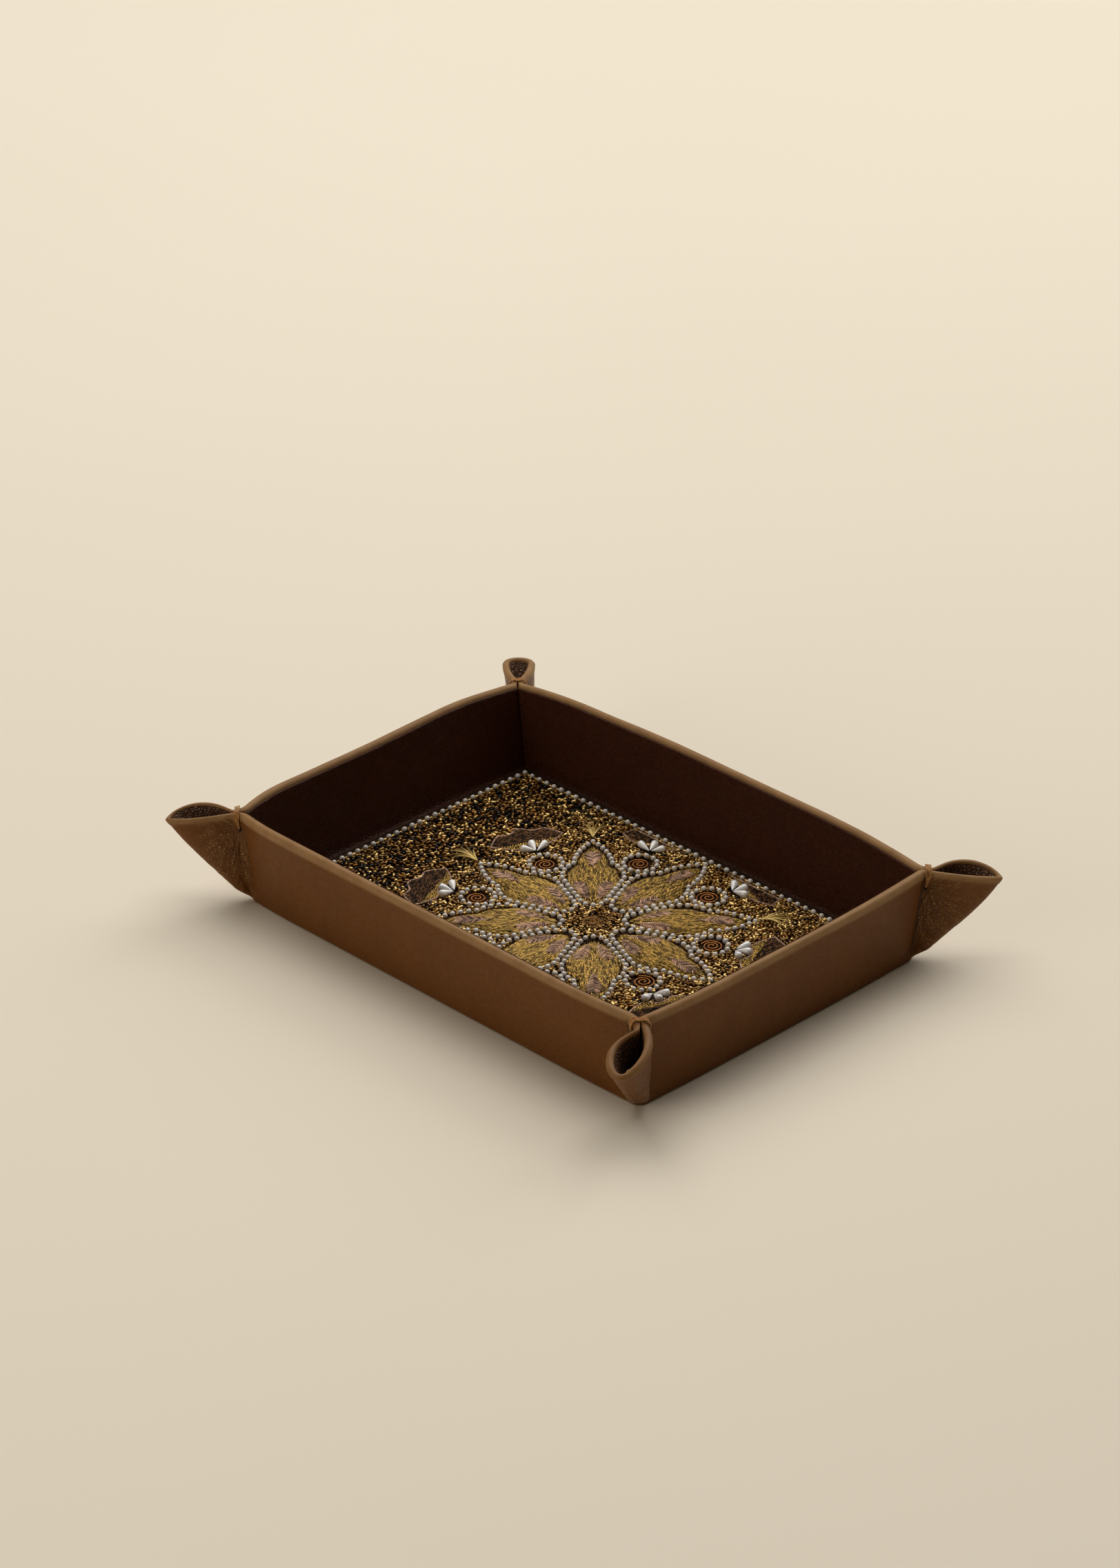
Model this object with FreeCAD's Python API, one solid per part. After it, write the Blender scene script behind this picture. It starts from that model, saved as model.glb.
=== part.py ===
import FreeCAD, Part
import math
import os

Vector = FreeCAD.Vector

# Valet tray of folded leather over boards, with four sewn corner ears and a beaded floor panel.
# Millimetres, +Z up, +X along the tray, origin under the middle of the base.

# Walls, measured over the leather: corner to corner at the rim, and the outward lean in degrees
RIM_LENGTH = 210.0
RIM_WIDTH = 150.0
WALL_HEIGHT = 38.0
WALL_LEAN = 4.0
CORNER_SLIT = 0.8

# Thickness of each sheet
COVER_LEATHER = 1.0
LINING_LEATHER = 0.8
HEM_LEATHER = 0.5
WALL_BOARD = 2.4
BASE_BOARD = 2.0
INSERT_BOARD = 1.2
GROUND_CLOTH = 0.4

# Folds, the turned rim and the fit of the boards
BEND_RADIUS = 2.5
RIM_RADIUS = 1.5
HEM_DEPTH = 9.0
LINING_SETBACK = 1.2
FOLD_GAP = 0.3
GLUE_GAP = 0.15
INSERT_CLEARANCE = 1.8

# Corner ears: pockets of pinched leather that run from a base corner to an open mouth
EAR_REACH = 26.5
EAR_WIDTH = 14.5
EAR_DROP = 3.0
EAR_TIP_INSIDE = 0.6
EAR_ROOT_HEIGHT = 1.5
EAR_ROOT_REACH = 3.5
EAR_ROOT_SWELL = 0.3
EAR_FLOOR = 3.5

# Thread that pinches each ear beside its corner
THREAD = 0.5
STITCH_TURNS = 3
STITCH_GAP = 0.46
STITCH_EDGE = 0.9
STITCH_DEPTH = 6.5
THREAD_BEND = 0.65
THREAD_CLEARANCE = 0.15
NECK_MARGIN = 0.6

# Pearl rows: the border of the panel, the outlines of the petals and the rings
PEARL = 2.2
PETAL_PEARL_PITCH = 3.1
RING_PEARL_PITCH = 2.9
BORDER_PITCH = 4.0
BORDER_MARGIN = 4.0
ROW_GAP = 0.45
BEAD_GAP = 0.3

# Rosette of petals, which meets the border on the long sides. Its motifs, down to the gilt fans, are drawn
# for a petal of ROSETTE_REACH and are all drawn larger or smaller with the petals that fit the panel.
ROSETTE_SHIFT = 7.5
ROSETTE_REACH = 60.0
PETALS = 8
PETAL_BASE = 11.5
PETAL_BASE_ROUND = 2.5
SHOULDER_LENGTH = 11.5
SHOULDER_BULGE = 1.5
TIP_BULGE = 1.6
PETAL_THICKNESS = 1.2
PETAL_SLOPE = 0.8
BED_THICKNESS = 1.1
CENTRE_RADIUS = 5.5
CENTRE_THICKNESS = 0.9

# Stitched leaves on each petal
SPRIG_LENGTH = 14.0
SPRIG_WIDTH = 4.6
SPRIG_THICKNESS = 0.4
SPRIG_SPREAD = 18.0
SPRIG_GAP = 1.4

# Between the petals: a wire spiral in a ring of pearls, three drop pearls and a dark leaf
SPIRAL_WIRE = 1.0
SPIRAL_GAP = 0.46
SPIRAL_HALF_TURNS = 5
SPIRAL_EYE = 0.9
RING_CLEARANCE = 1.8
DROP_LENGTH = 5.7
DROP_DIAMETER = 3.0
DROP_START = 1.6
TRIO_GAP = 0.5
PATCH_SHOW = 4.0
PATCH_WIDTH = 24.0
PATCH_DEPTH = 11.0
PATCH_THICKNESS = 0.9

# Fans of gilt wire beyond the petal tips
FAN_WIRES = 5
FAN_WIRE = 0.8
FAN_LENGTH = 6.5
FAN_SPREAD = 84.0

# Sampling step for measuring the gap between neighbouring turns
GAP_STEP = 0.1

lean = math.radians(WALL_LEAN)
base_half_length = RIM_LENGTH / 2 - WALL_HEIGHT * math.tan(lean)
base_half_width = RIM_WIDTH / 2 - WALL_HEIGHT * math.tan(lean)

board_depth = COVER_LEATHER + WALL_BOARD
wall_depth = board_depth + LINING_LEATHER
slope_length = (WALL_HEIGHT - board_depth * math.sin(lean)) / math.cos(lean)
bend_tangent = BEND_RADIUS * math.tan((math.pi / 2 - lean) / 2)

base_board_top = COVER_LEATHER + BASE_BOARD
wall_board_foot = base_board_top + FOLD_GAP
floor_top = base_board_top + LINING_LEATHER
insert_top = floor_top + INSERT_BOARD
cloth_top = insert_top + GROUND_CLOTH
bed_top = cloth_top + BED_THICKNESS
petal_top = cloth_top + PETAL_THICKNESS


def wall_point(up, deep):
    """Point of a wall's section: up the slope from the outer base edge, and deep from the outer face."""
    x = up * math.sin(lean) - deep * math.cos(lean)
    z = up * math.cos(lean) + deep * math.sin(lean)
    return Vector(x, 0, z)


def wall_at_height(z, deep):
    """Point of a wall's section at a height and a depth from the outer face."""
    return wall_point((z - deep * math.sin(lean)) / math.cos(lean), deep)


floor_half_length = base_half_length + wall_at_height(floor_top, wall_depth).x
floor_half_width = base_half_width + wall_at_height(floor_top, wall_depth).x
insert_half_length = floor_half_length - INSERT_CLEARANCE
insert_half_width = floor_half_width - INSERT_CLEARANCE
border_half_length = insert_half_length - BORDER_MARGIN
border_half_width = insert_half_width - BORDER_MARGIN
field_inset = PEARL / 2 + BEAD_GAP
field_half_length = border_half_length - field_inset
field_half_width = border_half_width - field_inset

nodes = {}


def line(start, end):
    return Part.LineSegment(start, end).toShape()


def arc(start, middle, end):
    return Part.Arc(start, middle, end).toShape()


def centred_box(half_length, half_width, bottom, top):
    corner = Vector(-half_length, -half_width, bottom)
    return Part.makeBox(2 * half_length, 2 * half_width, top - bottom, corner)


def turned(shape, degrees):
    copy = shape.copy()
    copy.rotate(Vector(0, 0, 0), Vector(0, 0, 1), degrees)
    return copy


def moved(shape, offset):
    copy = shape.copy()
    copy.translate(offset)
    return copy


def rounded_wire(corners):
    """Closed wire through (point, radius) corners, each rounded by a tangent arc."""
    starts = []
    ends = []
    middles = []
    for index, (point, radius) in enumerate(corners):
        before = (corners[index - 1][0] - point).normalize()
        after = (corners[(index + 1) % len(corners)][0] - point).normalize()
        half_corner = before.getAngle(after) / 2
        tangent = radius / math.tan(half_corner)
        starts.append(point + before * tangent)
        ends.append(point + after * tangent)
        if radius > 0:
            inward = (before + after).normalize()
            middles.append(point + inward * (radius / math.sin(half_corner) - radius))
        else:
            middles.append(None)
    edges = []
    for index, middle in enumerate(middles):
        if middle is not None:
            edges.append(arc(starts[index], middle, ends[index]))
        following = starts[(index + 1) % len(corners)]
        if ends[index].distanceToPoint(following) > 1e-6:
            edges.append(line(ends[index], following))
    return Part.Wire(edges)


def lens(length, width, bottom, thickness):
    """Flat leaf of two arcs, pointed at both ends along X, centred on the origin."""
    tip = Vector(length / 2, 0, bottom)
    tail = Vector(-length / 2, 0, bottom)
    upper = arc(tail, Vector(0, width / 2, bottom), tip)
    lower = arc(tip, Vector(0, -width / 2, bottom), tail)
    return Part.Face(Part.Wire([upper, lower])).extrude(Vector(0, 0, thickness))


def tube(path, diameter):
    """Round tube along a wire."""
    start = path.Edges[0].firstVertex().Point
    direction = path.Edges[0].tangentAt(path.Edges[0].FirstParameter)
    ring = Part.Wire(Part.makeCircle(diameter / 2, start, direction))
    return path.makePipeShell([ring], True, False)


def least_gap(path, diameter):
    """Least distance between the surfaces of turns that lie apart along the path."""
    points = path.discretize(Distance=GAP_STEP)
    apart = int(3 * diameter / GAP_STEP)
    nearest = path.Length
    for index, point in enumerate(points):
        for other in points[index + apart:]:
            nearest = min(nearest, point.distanceToPoint(other))
    return nearest - diameter


# Walls

rim_radius = min(RIM_RADIUS, 0.48 * board_depth)


def cover_section():
    """Leather from the bottom fold, up the outside, over the rim and down inside as a hem."""
    flap = board_depth - HEM_LEATHER
    return [
        (Vector(-bend_tangent, 0, 0), 0),
        (Vector(0, 0, 0), BEND_RADIUS),
        (wall_point(slope_length, 0), rim_radius),
        (wall_point(slope_length, board_depth), rim_radius),
        (wall_point(slope_length - HEM_DEPTH, board_depth), 0),
        (wall_point(slope_length - HEM_DEPTH, flap), 0),
        (wall_point(slope_length - COVER_LEATHER, flap), 0),
        (wall_point(slope_length - COVER_LEATHER, COVER_LEATHER), 0),
        (wall_at_height(COVER_LEATHER, COVER_LEATHER), BEND_RADIUS - COVER_LEATHER),
        (Vector(-bend_tangent, 0, COVER_LEATHER), 0),
    ]


def board_section():
    """Board with its upper inner edge pared back for the hem."""
    flap = board_depth - HEM_LEATHER
    return [
        (wall_at_height(wall_board_foot, COVER_LEATHER), 0),
        (wall_point(slope_length - COVER_LEATHER, COVER_LEATHER), 0),
        (wall_point(slope_length - COVER_LEATHER, flap), 0),
        (wall_point(slope_length - HEM_DEPTH, flap), 0),
        (wall_point(slope_length - HEM_DEPTH, board_depth), 0),
        (wall_at_height(wall_board_foot, board_depth), 0),
    ]


def lining_section():
    """Lining over the board and the hem, from the floor lining to just under the rim."""
    return [
        (wall_at_height(floor_top, board_depth), 0),
        (wall_point(slope_length - LINING_SETBACK, board_depth), 0),
        (wall_point(slope_length - LINING_SETBACK, wall_depth), 0),
        (wall_at_height(floor_top, wall_depth), 0),
    ]


def mitred_wall(section, out, side, inner_reach):
    """Section swept along one wall and cut at the corners, for a wall that faces +X."""
    face = Part.Face(rounded_wire(section))
    half_run = side + WALL_HEIGHT
    swept = moved(face.extrude(Vector(0, 2 * half_run, 0)), Vector(out, -half_run, 0))
    slit = CORNER_SLIT / math.sqrt(2)
    outer_reach = WALL_HEIGHT
    wedge = Part.makePolygon([
        Vector(out - inner_reach, -side + inner_reach + slit, -WALL_HEIGHT),
        Vector(out + outer_reach, -side - outer_reach + slit, -WALL_HEIGHT),
        Vector(out + outer_reach, side + outer_reach - slit, -WALL_HEIGHT),
        Vector(out - inner_reach, side - inner_reach - slit, -WALL_HEIGHT),
        Vector(out - inner_reach, -side + inner_reach + slit, -WALL_HEIGHT),
    ])
    return swept.common(Part.Face(wedge).extrude(Vector(0, 0, 3 * WALL_HEIGHT)))


WALLS = {
    "right": (0, base_half_length, base_half_width),
    "back": (90, base_half_width, base_half_length),
    "left": (180, base_half_length, base_half_width),
    "front": (270, base_half_width, base_half_length),
}

for wall, (facing, out, side) in WALLS.items():
    inner_reach = wall_depth + bend_tangent
    for layer, section in (("cover", cover_section), ("board", board_section), ("lining", lining_section)):
        nodes[wall + "_" + layer] = turned(mitred_wall(section(), out, side, inner_reach), facing)

# Base and the loose panel that carries the embroidery

flat_half_length = base_half_length - bend_tangent
flat_half_width = base_half_width - bend_tangent
nodes["base_cover"] = centred_box(flat_half_length, flat_half_width, 0, COVER_LEATHER)
nodes["base_board"] = centred_box(flat_half_length, flat_half_width, COVER_LEATHER, base_board_top)

floor_inset = wall_at_height(base_board_top, board_depth).x - GLUE_GAP
nodes["base_lining"] = centred_box(
    base_half_length + floor_inset, base_half_width + floor_inset, base_board_top, floor_top)

nodes["insert_board"] = centred_box(
    insert_half_length - GROUND_CLOTH, insert_half_width - GROUND_CLOTH, floor_top, insert_top)
cloth_outside = centred_box(insert_half_length, insert_half_width, floor_top, cloth_top)
nodes["ground_cloth"] = cloth_outside.cut(nodes["insert_board"])

# Corner ears, made beside a corner at the origin that points along +X

ear_walls = COVER_LEATHER + GLUE_GAP + LINING_LEATHER
neck_half = CORNER_SLIT / 2 + ear_walls
tip_radius = EAR_TIP_INSIDE + ear_walls
corner_lean = math.sqrt(2) * math.tan(lean)
root_corner = EAR_ROOT_HEIGHT * corner_lean
top_corner = WALL_HEIGHT * corner_lean

stitch_pitch = THREAD + STITCH_GAP
stitch_width = STITCH_TURNS * stitch_pitch
stitch_start = top_corner + STITCH_EDGE
stitch_floor = WALL_HEIGHT - STITCH_DEPTH
slot_level = (stitch_floor - EAR_ROOT_HEIGHT) / (WALL_HEIGHT - EAR_ROOT_HEIGHT)
slot_corner = stitch_floor * corner_lean
neck_length = (stitch_start + stitch_width + THREAD / 2 + NECK_MARGIN - slot_corner) / slot_level


def between(low, high, level):
    return low + (high - low) * level


def ear_wire(level, inset):
    """Outline of an ear at a level from its root, 0, to its mouth, 1, drawn in from the outer face."""
    corner = between(root_corner, top_corner, level)
    reach = between(EAR_ROOT_REACH, EAR_REACH, level) - inset
    half_width = between(neck_half + EAR_ROOT_SWELL, EAR_WIDTH / 2, level) - inset
    neck = neck_half - inset
    tip = tip_radius - inset
    neck_end = corner + between(EAR_ROOT_SWELL, neck_length, level)
    tip_start = corner + reach - tip
    tail = corner - 3 * neck_half

    def spot(u, v):
        mouth = WALL_HEIGHT - EAR_DROP * (u - top_corner) / EAR_REACH
        return Vector(u, v, between(EAR_ROOT_HEIGHT, mouth, level))

    middle = (neck_end + tip_start) / 2
    return Part.Wire([
        line(spot(tail, -neck), spot(tail, neck)),
        line(spot(tail, neck), spot(neck_end, neck)),
        arc(spot(neck_end, neck), spot(middle, half_width), spot(tip_start, tip)),
        arc(spot(tip_start, tip), spot(corner + reach, 0), spot(tip_start, -tip)),
        arc(spot(tip_start, -tip), spot(middle, -half_width), spot(neck_end, -neck)),
        line(spot(neck_end, -neck), spot(tail, -neck)),
    ])


def ear_solid(low, high, inset):
    return Part.makeLoft([ear_wire(low, inset), ear_wire(high, inset)], True, True)


def tray_corner():
    """Space inside the two outer wall faces that meet at the corner."""
    reach = WALL_HEIGHT
    levels = []
    for z in (-WALL_HEIGHT, 2 * WALL_HEIGHT):
        u = z * corner_lean
        levels.append(Part.makePolygon([
            Vector(u, 0, z), Vector(u - reach, reach, z), Vector(u - 2 * reach, 0, z),
            Vector(u - reach, -reach, z), Vector(u, 0, z)]))
    return Part.makeLoft(levels, True, True)


def thread_slot():
    """Slit through both sides of the pinched neck, where the thread goes in and out."""
    half_height = THREAD / 2 + 2 * THREAD_CLEARANCE
    start = stitch_start - THREAD / 2 - THREAD_CLEARANCE
    length = stitch_width + THREAD + 2 * THREAD_CLEARANCE
    corner = Vector(start, -2 * neck_half, stitch_floor - half_height)
    return Part.makeBox(length, 4 * neck_half, 2 * half_height, corner)


def stitch_path():
    """Thread that goes over the neck, down, through the slit and up again, turn after turn."""
    side = neck_half + THREAD / 2 + THREAD_CLEARANCE
    top = WALL_HEIGHT + THREAD / 2 + THREAD_CLEARANCE
    up = Vector(0, 0, 1)
    edges = []

    def hook(start, corner, end):
        """Straight run towards a corner of the path and the quarter arc round it."""
        before = (start - corner).normalize()
        after = (end - corner).normalize()
        arc_start = corner + before * THREAD_BEND
        arc_end = corner + after * THREAD_BEND
        middle = corner + (before + after) * (THREAD_BEND * (1 - math.sqrt(0.5)))
        edges.append(line(start, arc_start))
        edges.append(arc(arc_start, middle, arc_end))
        return arc_end

    point = Vector(stitch_start, 0, stitch_floor)
    for turn in range(STITCH_TURNS):
        u = stitch_start + turn * stitch_pitch
        low_near = Vector(u, -side, stitch_floor)
        high_near = low_near + up * (top - stitch_floor)
        high_far = Vector(u + stitch_pitch, side, top)
        low_far = high_far - up * (top - stitch_floor)
        after = Vector(u + stitch_pitch, 0, stitch_floor)
        stops = [low_near, high_near, high_far, low_far, after]
        for corner, end in zip(stops, stops[1:]):
            point = hook(point, corner, end)
    edges.append(line(point, after))
    return Part.Wire(edges)


# Levels from the root, 0, to the mouth, 1. The hollows are cut on past the mouth.
mouth_cut = 1.1
cover_floor = EAR_FLOOR / WALL_HEIGHT
lining_floor = cover_floor + GLUE_GAP / WALL_HEIGHT
pocket_floor = lining_floor + 2 * LINING_LEATHER / WALL_HEIGHT
lining_mouth = 1 - LINING_SETBACK / WALL_HEIGHT
lining_inset = COVER_LEATHER + GLUE_GAP

corner_space = tray_corner()
slot = thread_slot()
ear_hollow = ear_solid(cover_floor, mouth_cut, COVER_LEATHER)
ear_cover = ear_solid(0, 1, 0).cut(ear_hollow).cut(corner_space).cut(slot)
pocket = ear_solid(pocket_floor, mouth_cut, ear_walls)
ear_lining = ear_solid(lining_floor, lining_mouth, lining_inset).cut(pocket).cut(corner_space).cut(slot)
stitch_line = stitch_path()
stitch = tube(stitch_line, THREAD)
print("corner stitch, least gap between turns: %.2f mm" % least_gap(stitch_line, THREAD))

for along, facing_x in (("right", 1), ("left", -1)):
    for across, facing_y in (("front", -1), ("back", 1)):
        angle = math.degrees(math.atan2(facing_y, facing_x))
        place = Vector(facing_x * base_half_length, facing_y * base_half_width, 0)
        corner = across + "_" + along
        nodes["ear_" + corner] = moved(turned(ear_cover, angle), place)
        nodes["ear_lining_" + corner] = moved(turned(ear_lining, angle), place)
        nodes["corner_stitch_" + corner] = moved(turned(stitch, angle), place)

# Rosette: sizes that follow from the border and from what sits between the petals

petal_tip = border_half_width - PEARL - ROW_GAP
motif = petal_tip / ROSETTE_REACH
petal_base_round = motif * PETAL_BASE_ROUND
petal_base = motif * PETAL_BASE
shoulder_length = motif * SHOULDER_LENGTH
shoulder_bulge = motif * SHOULDER_BULGE
tip_bulge = motif * TIP_BULGE
centre_radius = motif * CENTRE_RADIUS
sprig_length = motif * SPRIG_LENGTH
sprig_width = motif * SPRIG_WIDTH
sprig_gap = motif * SPRIG_GAP
spiral_wire = motif * SPIRAL_WIRE
spiral_gap = motif * SPIRAL_GAP
spiral_eye = motif * SPIRAL_EYE
ring_clearance = motif * RING_CLEARANCE
drop_length = motif * DROP_LENGTH
drop_diameter = motif * DROP_DIAMETER
drop_start = motif * DROP_START
trio_gap = motif * TRIO_GAP
patch_show = motif * PATCH_SHOW
patch_width = motif * PATCH_WIDTH
patch_depth = motif * PATCH_DEPTH
fan_wire = motif * FAN_WIRE
fan_length = motif * FAN_LENGTH

sector = math.pi / PETALS
petal_angle = 360 / PETALS
row_offset = PEARL / 2 + ROW_GAP / 2

spiral_pitch = spiral_wire + spiral_gap
spiral_radius = spiral_eye + SPIRAL_HALF_TURNS * spiral_pitch / 2 + spiral_wire / 2
ring_radius = spiral_radius + BEAD_GAP + PEARL / 2
ring_outside = ring_radius + PEARL / 2
trio_reach = trio_gap + drop_start + drop_length

trio_end = (field_half_width - patch_show) / math.cos(sector)
ring_distance = trio_end - trio_reach - ring_outside
petal_waist = ring_distance * math.cos(sector)
waist_half = ring_distance * math.sin(sector) - ring_outside - ring_clearance - PEARL / 2
petal_shoulder = petal_waist - shoulder_length


def on_rosette(shape, degrees):
    return moved(turned(shape, degrees), Vector(ROSETTE_SHIFT, 0, 0))


def petal_wire(inset, z):
    """Outline of the petal along +X from its tip, drawn in from the line of its pearl row."""

    def on_side(x):
        return Vector(x, (x * math.sin(sector) - row_offset - inset) / math.cos(sector), z)

    def bulged(start, end, bulge):
        chord = end - start
        outward = Vector(-chord.y, chord.x, 0).normalize()
        return (start + end) / 2 - outward * bulge

    def mirrored(point):
        return Vector(point.x, -point.y, point.z)

    waist = Vector(petal_waist, waist_half - inset, z)
    tip_run = petal_tip - petal_waist
    tip_chord = math.hypot(tip_run, waist_half)
    tip_angle = math.atan2(waist_half, tip_run) + 2 * math.atan2(2 * tip_bulge, tip_chord)
    tip = Vector(petal_tip - inset / math.sin(tip_angle), 0, z)
    shoulder = on_side(petal_shoulder)
    root = on_side(petal_base + inset + petal_base_round)
    base = Vector(petal_base + inset, 0, z)
    tip_middle = bulged(waist, tip, -tip_bulge)
    shoulder_middle = bulged(shoulder, waist, -shoulder_bulge)
    return Part.Wire([
        arc(tip, tip_middle, waist),
        arc(waist, shoulder_middle, shoulder),
        line(shoulder, root),
        arc(root, base, mirrored(root)),
        line(mirrored(root), mirrored(shoulder)),
        arc(mirrored(shoulder), mirrored(shoulder_middle), mirrored(waist)),
        arc(mirrored(waist), mirrored(tip_middle), tip),
    ])


def pearl_at(point):
    return Part.makeSphere(PEARL / 2, Vector(point.x, point.y, cloth_top + PEARL / 2))


def petal_pearls():
    row = petal_wire(0, cloth_top)
    count = int(row.Length / PETAL_PEARL_PITCH)
    return [pearl_at(point) for point in row.discretize(count + 1)[:-1]]


def ring_pearls():
    count = int(2 * math.pi * ring_radius / RING_PEARL_PITCH)
    pearls = []
    for index in range(count):
        angle = 2 * math.pi * index / count
        spot = Vector(ring_distance + ring_radius * math.cos(angle), ring_radius * math.sin(angle), 0)
        pearls.append(pearl_at(spot))
    return pearls


def border_pearls():
    """Pearls at even steps along the four sides of the border, one on each corner."""
    along = round(2 * border_half_length / BORDER_PITCH)
    across = round(2 * border_half_width / BORDER_PITCH)
    spots = []
    for index in range(along):
        x = -border_half_length + 2 * border_half_length * index / along
        spots += [Vector(x, -border_half_width, 0), Vector(-x, border_half_width, 0)]
    for index in range(across):
        y = -border_half_width + 2 * border_half_width * index / across
        spots += [Vector(border_half_length, y, 0), Vector(-border_half_length, -y, 0)]
    return [pearl_at(spot) for spot in spots]


def petal_body():
    inset = PEARL / 2 + BEAD_GAP
    lower = petal_wire(inset, cloth_top)
    upper = petal_wire(inset + PETAL_SLOPE, petal_top)
    return Part.makeLoft([lower, upper], True, True)


def petal_sprigs():
    """Three stitched leaves: one towards the tip and two that spread from the base."""
    leaf = lens(sprig_length, sprig_width, petal_top, SPRIG_THICKNESS)
    low_middle = (petal_base + petal_shoulder) / 2 + sprig_gap
    aside = sprig_width / 2 + sprig_gap
    high_middle = (petal_shoulder + petal_tip) / 2
    sprigs = [moved(leaf, Vector(high_middle, 0, 0))]
    for hand in (1, -1):
        sprigs.append(moved(turned(leaf, hand * SPRIG_SPREAD), Vector(low_middle, hand * aside, 0)))
    return sprigs


def spiral_path():
    """Flat spiral of half turns from its eye, with a straight outer end of one wire diameter."""
    z = cloth_top + spiral_wire / 2
    centre = ring_distance
    radius = spiral_eye
    hand = 1
    start = Vector(centre + radius, 0, z)
    edges = []
    for half_turn in range(SPIRAL_HALF_TURNS):
        top = Vector(centre, hand * radius, z)
        end = Vector(centre - hand * radius, 0, z)
        edges.append(arc(start, top, end))
        start = end
        radius += spiral_pitch / 2
        centre += hand * spiral_pitch / 2
        hand = -hand
    edges.append(line(start, start + Vector(0, hand * spiral_wire, 0)))
    return Part.Wire(edges)


def drop_pearl():
    """Pear-shaped pearl that lies along +X from its point at the origin."""
    radius = drop_diameter / 2
    z = cloth_top + radius
    middle = drop_length - radius
    slope = math.acos(radius / middle)
    shoulder = Vector(middle - radius * math.cos(slope), 0, z + radius * math.sin(slope))
    crown = Vector(middle + radius * math.sin(slope / 2), 0, z + radius * math.cos(slope / 2))
    point = Vector(0, 0, z)
    end = Vector(drop_length, 0, z)
    outline = Part.Wire([line(point, shoulder), arc(shoulder, crown, end), line(end, point)])
    return Part.Face(outline).revolve(point, Vector(1, 0, 0), 360)


trio_root = ring_distance + ring_outside + trio_gap
drop_middle = drop_start + drop_length - drop_diameter / 2
trio_spread = math.degrees(2 * math.asin((drop_diameter + BEAD_GAP) / 2 / drop_middle))


def drop_trio():
    drop = moved(drop_pearl(), Vector(drop_start, 0, 0))
    return [moved(turned(drop, hand * trio_spread), Vector(trio_root, 0, 0)) for hand in (-1, 0, 1)]


def trio_space():
    """Round space in the bead field that holds the three drops."""
    aside = drop_middle * math.sin(math.radians(trio_spread)) + drop_diameter / 2
    radius = max(aside, (drop_length + drop_start) / 2) + BEAD_GAP
    middle = Vector(trio_root + drop_middle - drop_diameter / 4, 0, cloth_top)
    return Part.makeCylinder(radius, BED_THICKNESS, middle)


def leaf_patch(margin):
    """Dark stitched leaf beyond the drops, cut off where the field ends."""
    middle = trio_end + BEAD_GAP + patch_depth / 2
    leaf = lens(patch_width + 2 * margin, patch_depth + 2 * margin, cloth_top, PATCH_THICKNESS)
    return moved(turned(leaf, 90), Vector(middle, 0, 0))


def gilt_fan():
    """Fan of short round-ended wires, joined where they meet at the petal tip."""
    radius = fan_wire / 2
    root = Vector(petal_tip + PEARL / 2 + radius, 0, bed_top + radius)
    fan = Part.makeSphere(radius, root)
    run = fan_length - fan_wire
    for index in range(FAN_WIRES):
        angle = math.radians(FAN_SPREAD * (index / (FAN_WIRES - 1) - 0.5))
        direction = Vector(math.cos(angle), math.sin(angle), 0)
        fan = fan.fuse(Part.makeCylinder(radius, run, root, direction))
        fan = fan.fuse(Part.makeSphere(radius, root + direction * run))
    return fan


pearl_row = petal_pearls()
pearl_ring = ring_pearls()
petal = petal_body()
sprigs = petal_sprigs()
spiral_line = spiral_path()
spiral = tube(spiral_line, spiral_wire)
print("wire spiral, least gap between turns: %.2f mm" % least_gap(spiral_line, spiral_wire))
trio = drop_trio()
fan = gilt_fan()

groups = {name: [] for name in (
    "petal_pearls", "ring_pearls", "gold_petals", "petal_sprigs", "wire_spirals", "drop_pearls",
    "leaf_patches", "gilt_fans")}
field = centred_box(field_half_length, field_half_width, cloth_top, bed_top)
openings = []
for index in range(PETALS):
    angle = index * petal_angle
    groups["petal_pearls"] += [on_rosette(pearl, angle) for pearl in pearl_row]
    groups["gold_petals"].append(on_rosette(petal, angle))
    groups["petal_sprigs"] += [on_rosette(sprig, angle) for sprig in sprigs]
    outline = petal_wire(-PEARL / 2 - 2 * BEAD_GAP, cloth_top)
    openings.append(on_rosette(Part.Face(outline).extrude(Vector(0, 0, BED_THICKNESS)), angle))
    fan_end = (petal_tip + PEARL + fan_length) * abs(math.sin(math.radians(angle)))
    if fan_end < field_half_width:
        groups["gilt_fans"].append(on_rosette(fan, angle))

    angle += petal_angle / 2
    groups["ring_pearls"] += [on_rosette(pearl, angle) for pearl in pearl_ring]
    groups["wire_spirals"].append(on_rosette(spiral, angle))
    groups["drop_pearls"] += [on_rosette(drop, angle) for drop in trio]
    patch = on_rosette(leaf_patch(0), angle).common(field)
    patch_hole = on_rosette(leaf_patch(BEAD_GAP), angle)
    trio_hole = on_rosette(trio_space(), angle)
    groups["leaf_patches"].append(patch.cut(trio_hole))
    ring_hole = Part.makeCylinder(ring_outside + BEAD_GAP, BED_THICKNESS, Vector(ring_distance, 0, cloth_top))
    openings += [patch_hole, trio_hole, on_rosette(ring_hole, angle)]

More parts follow.
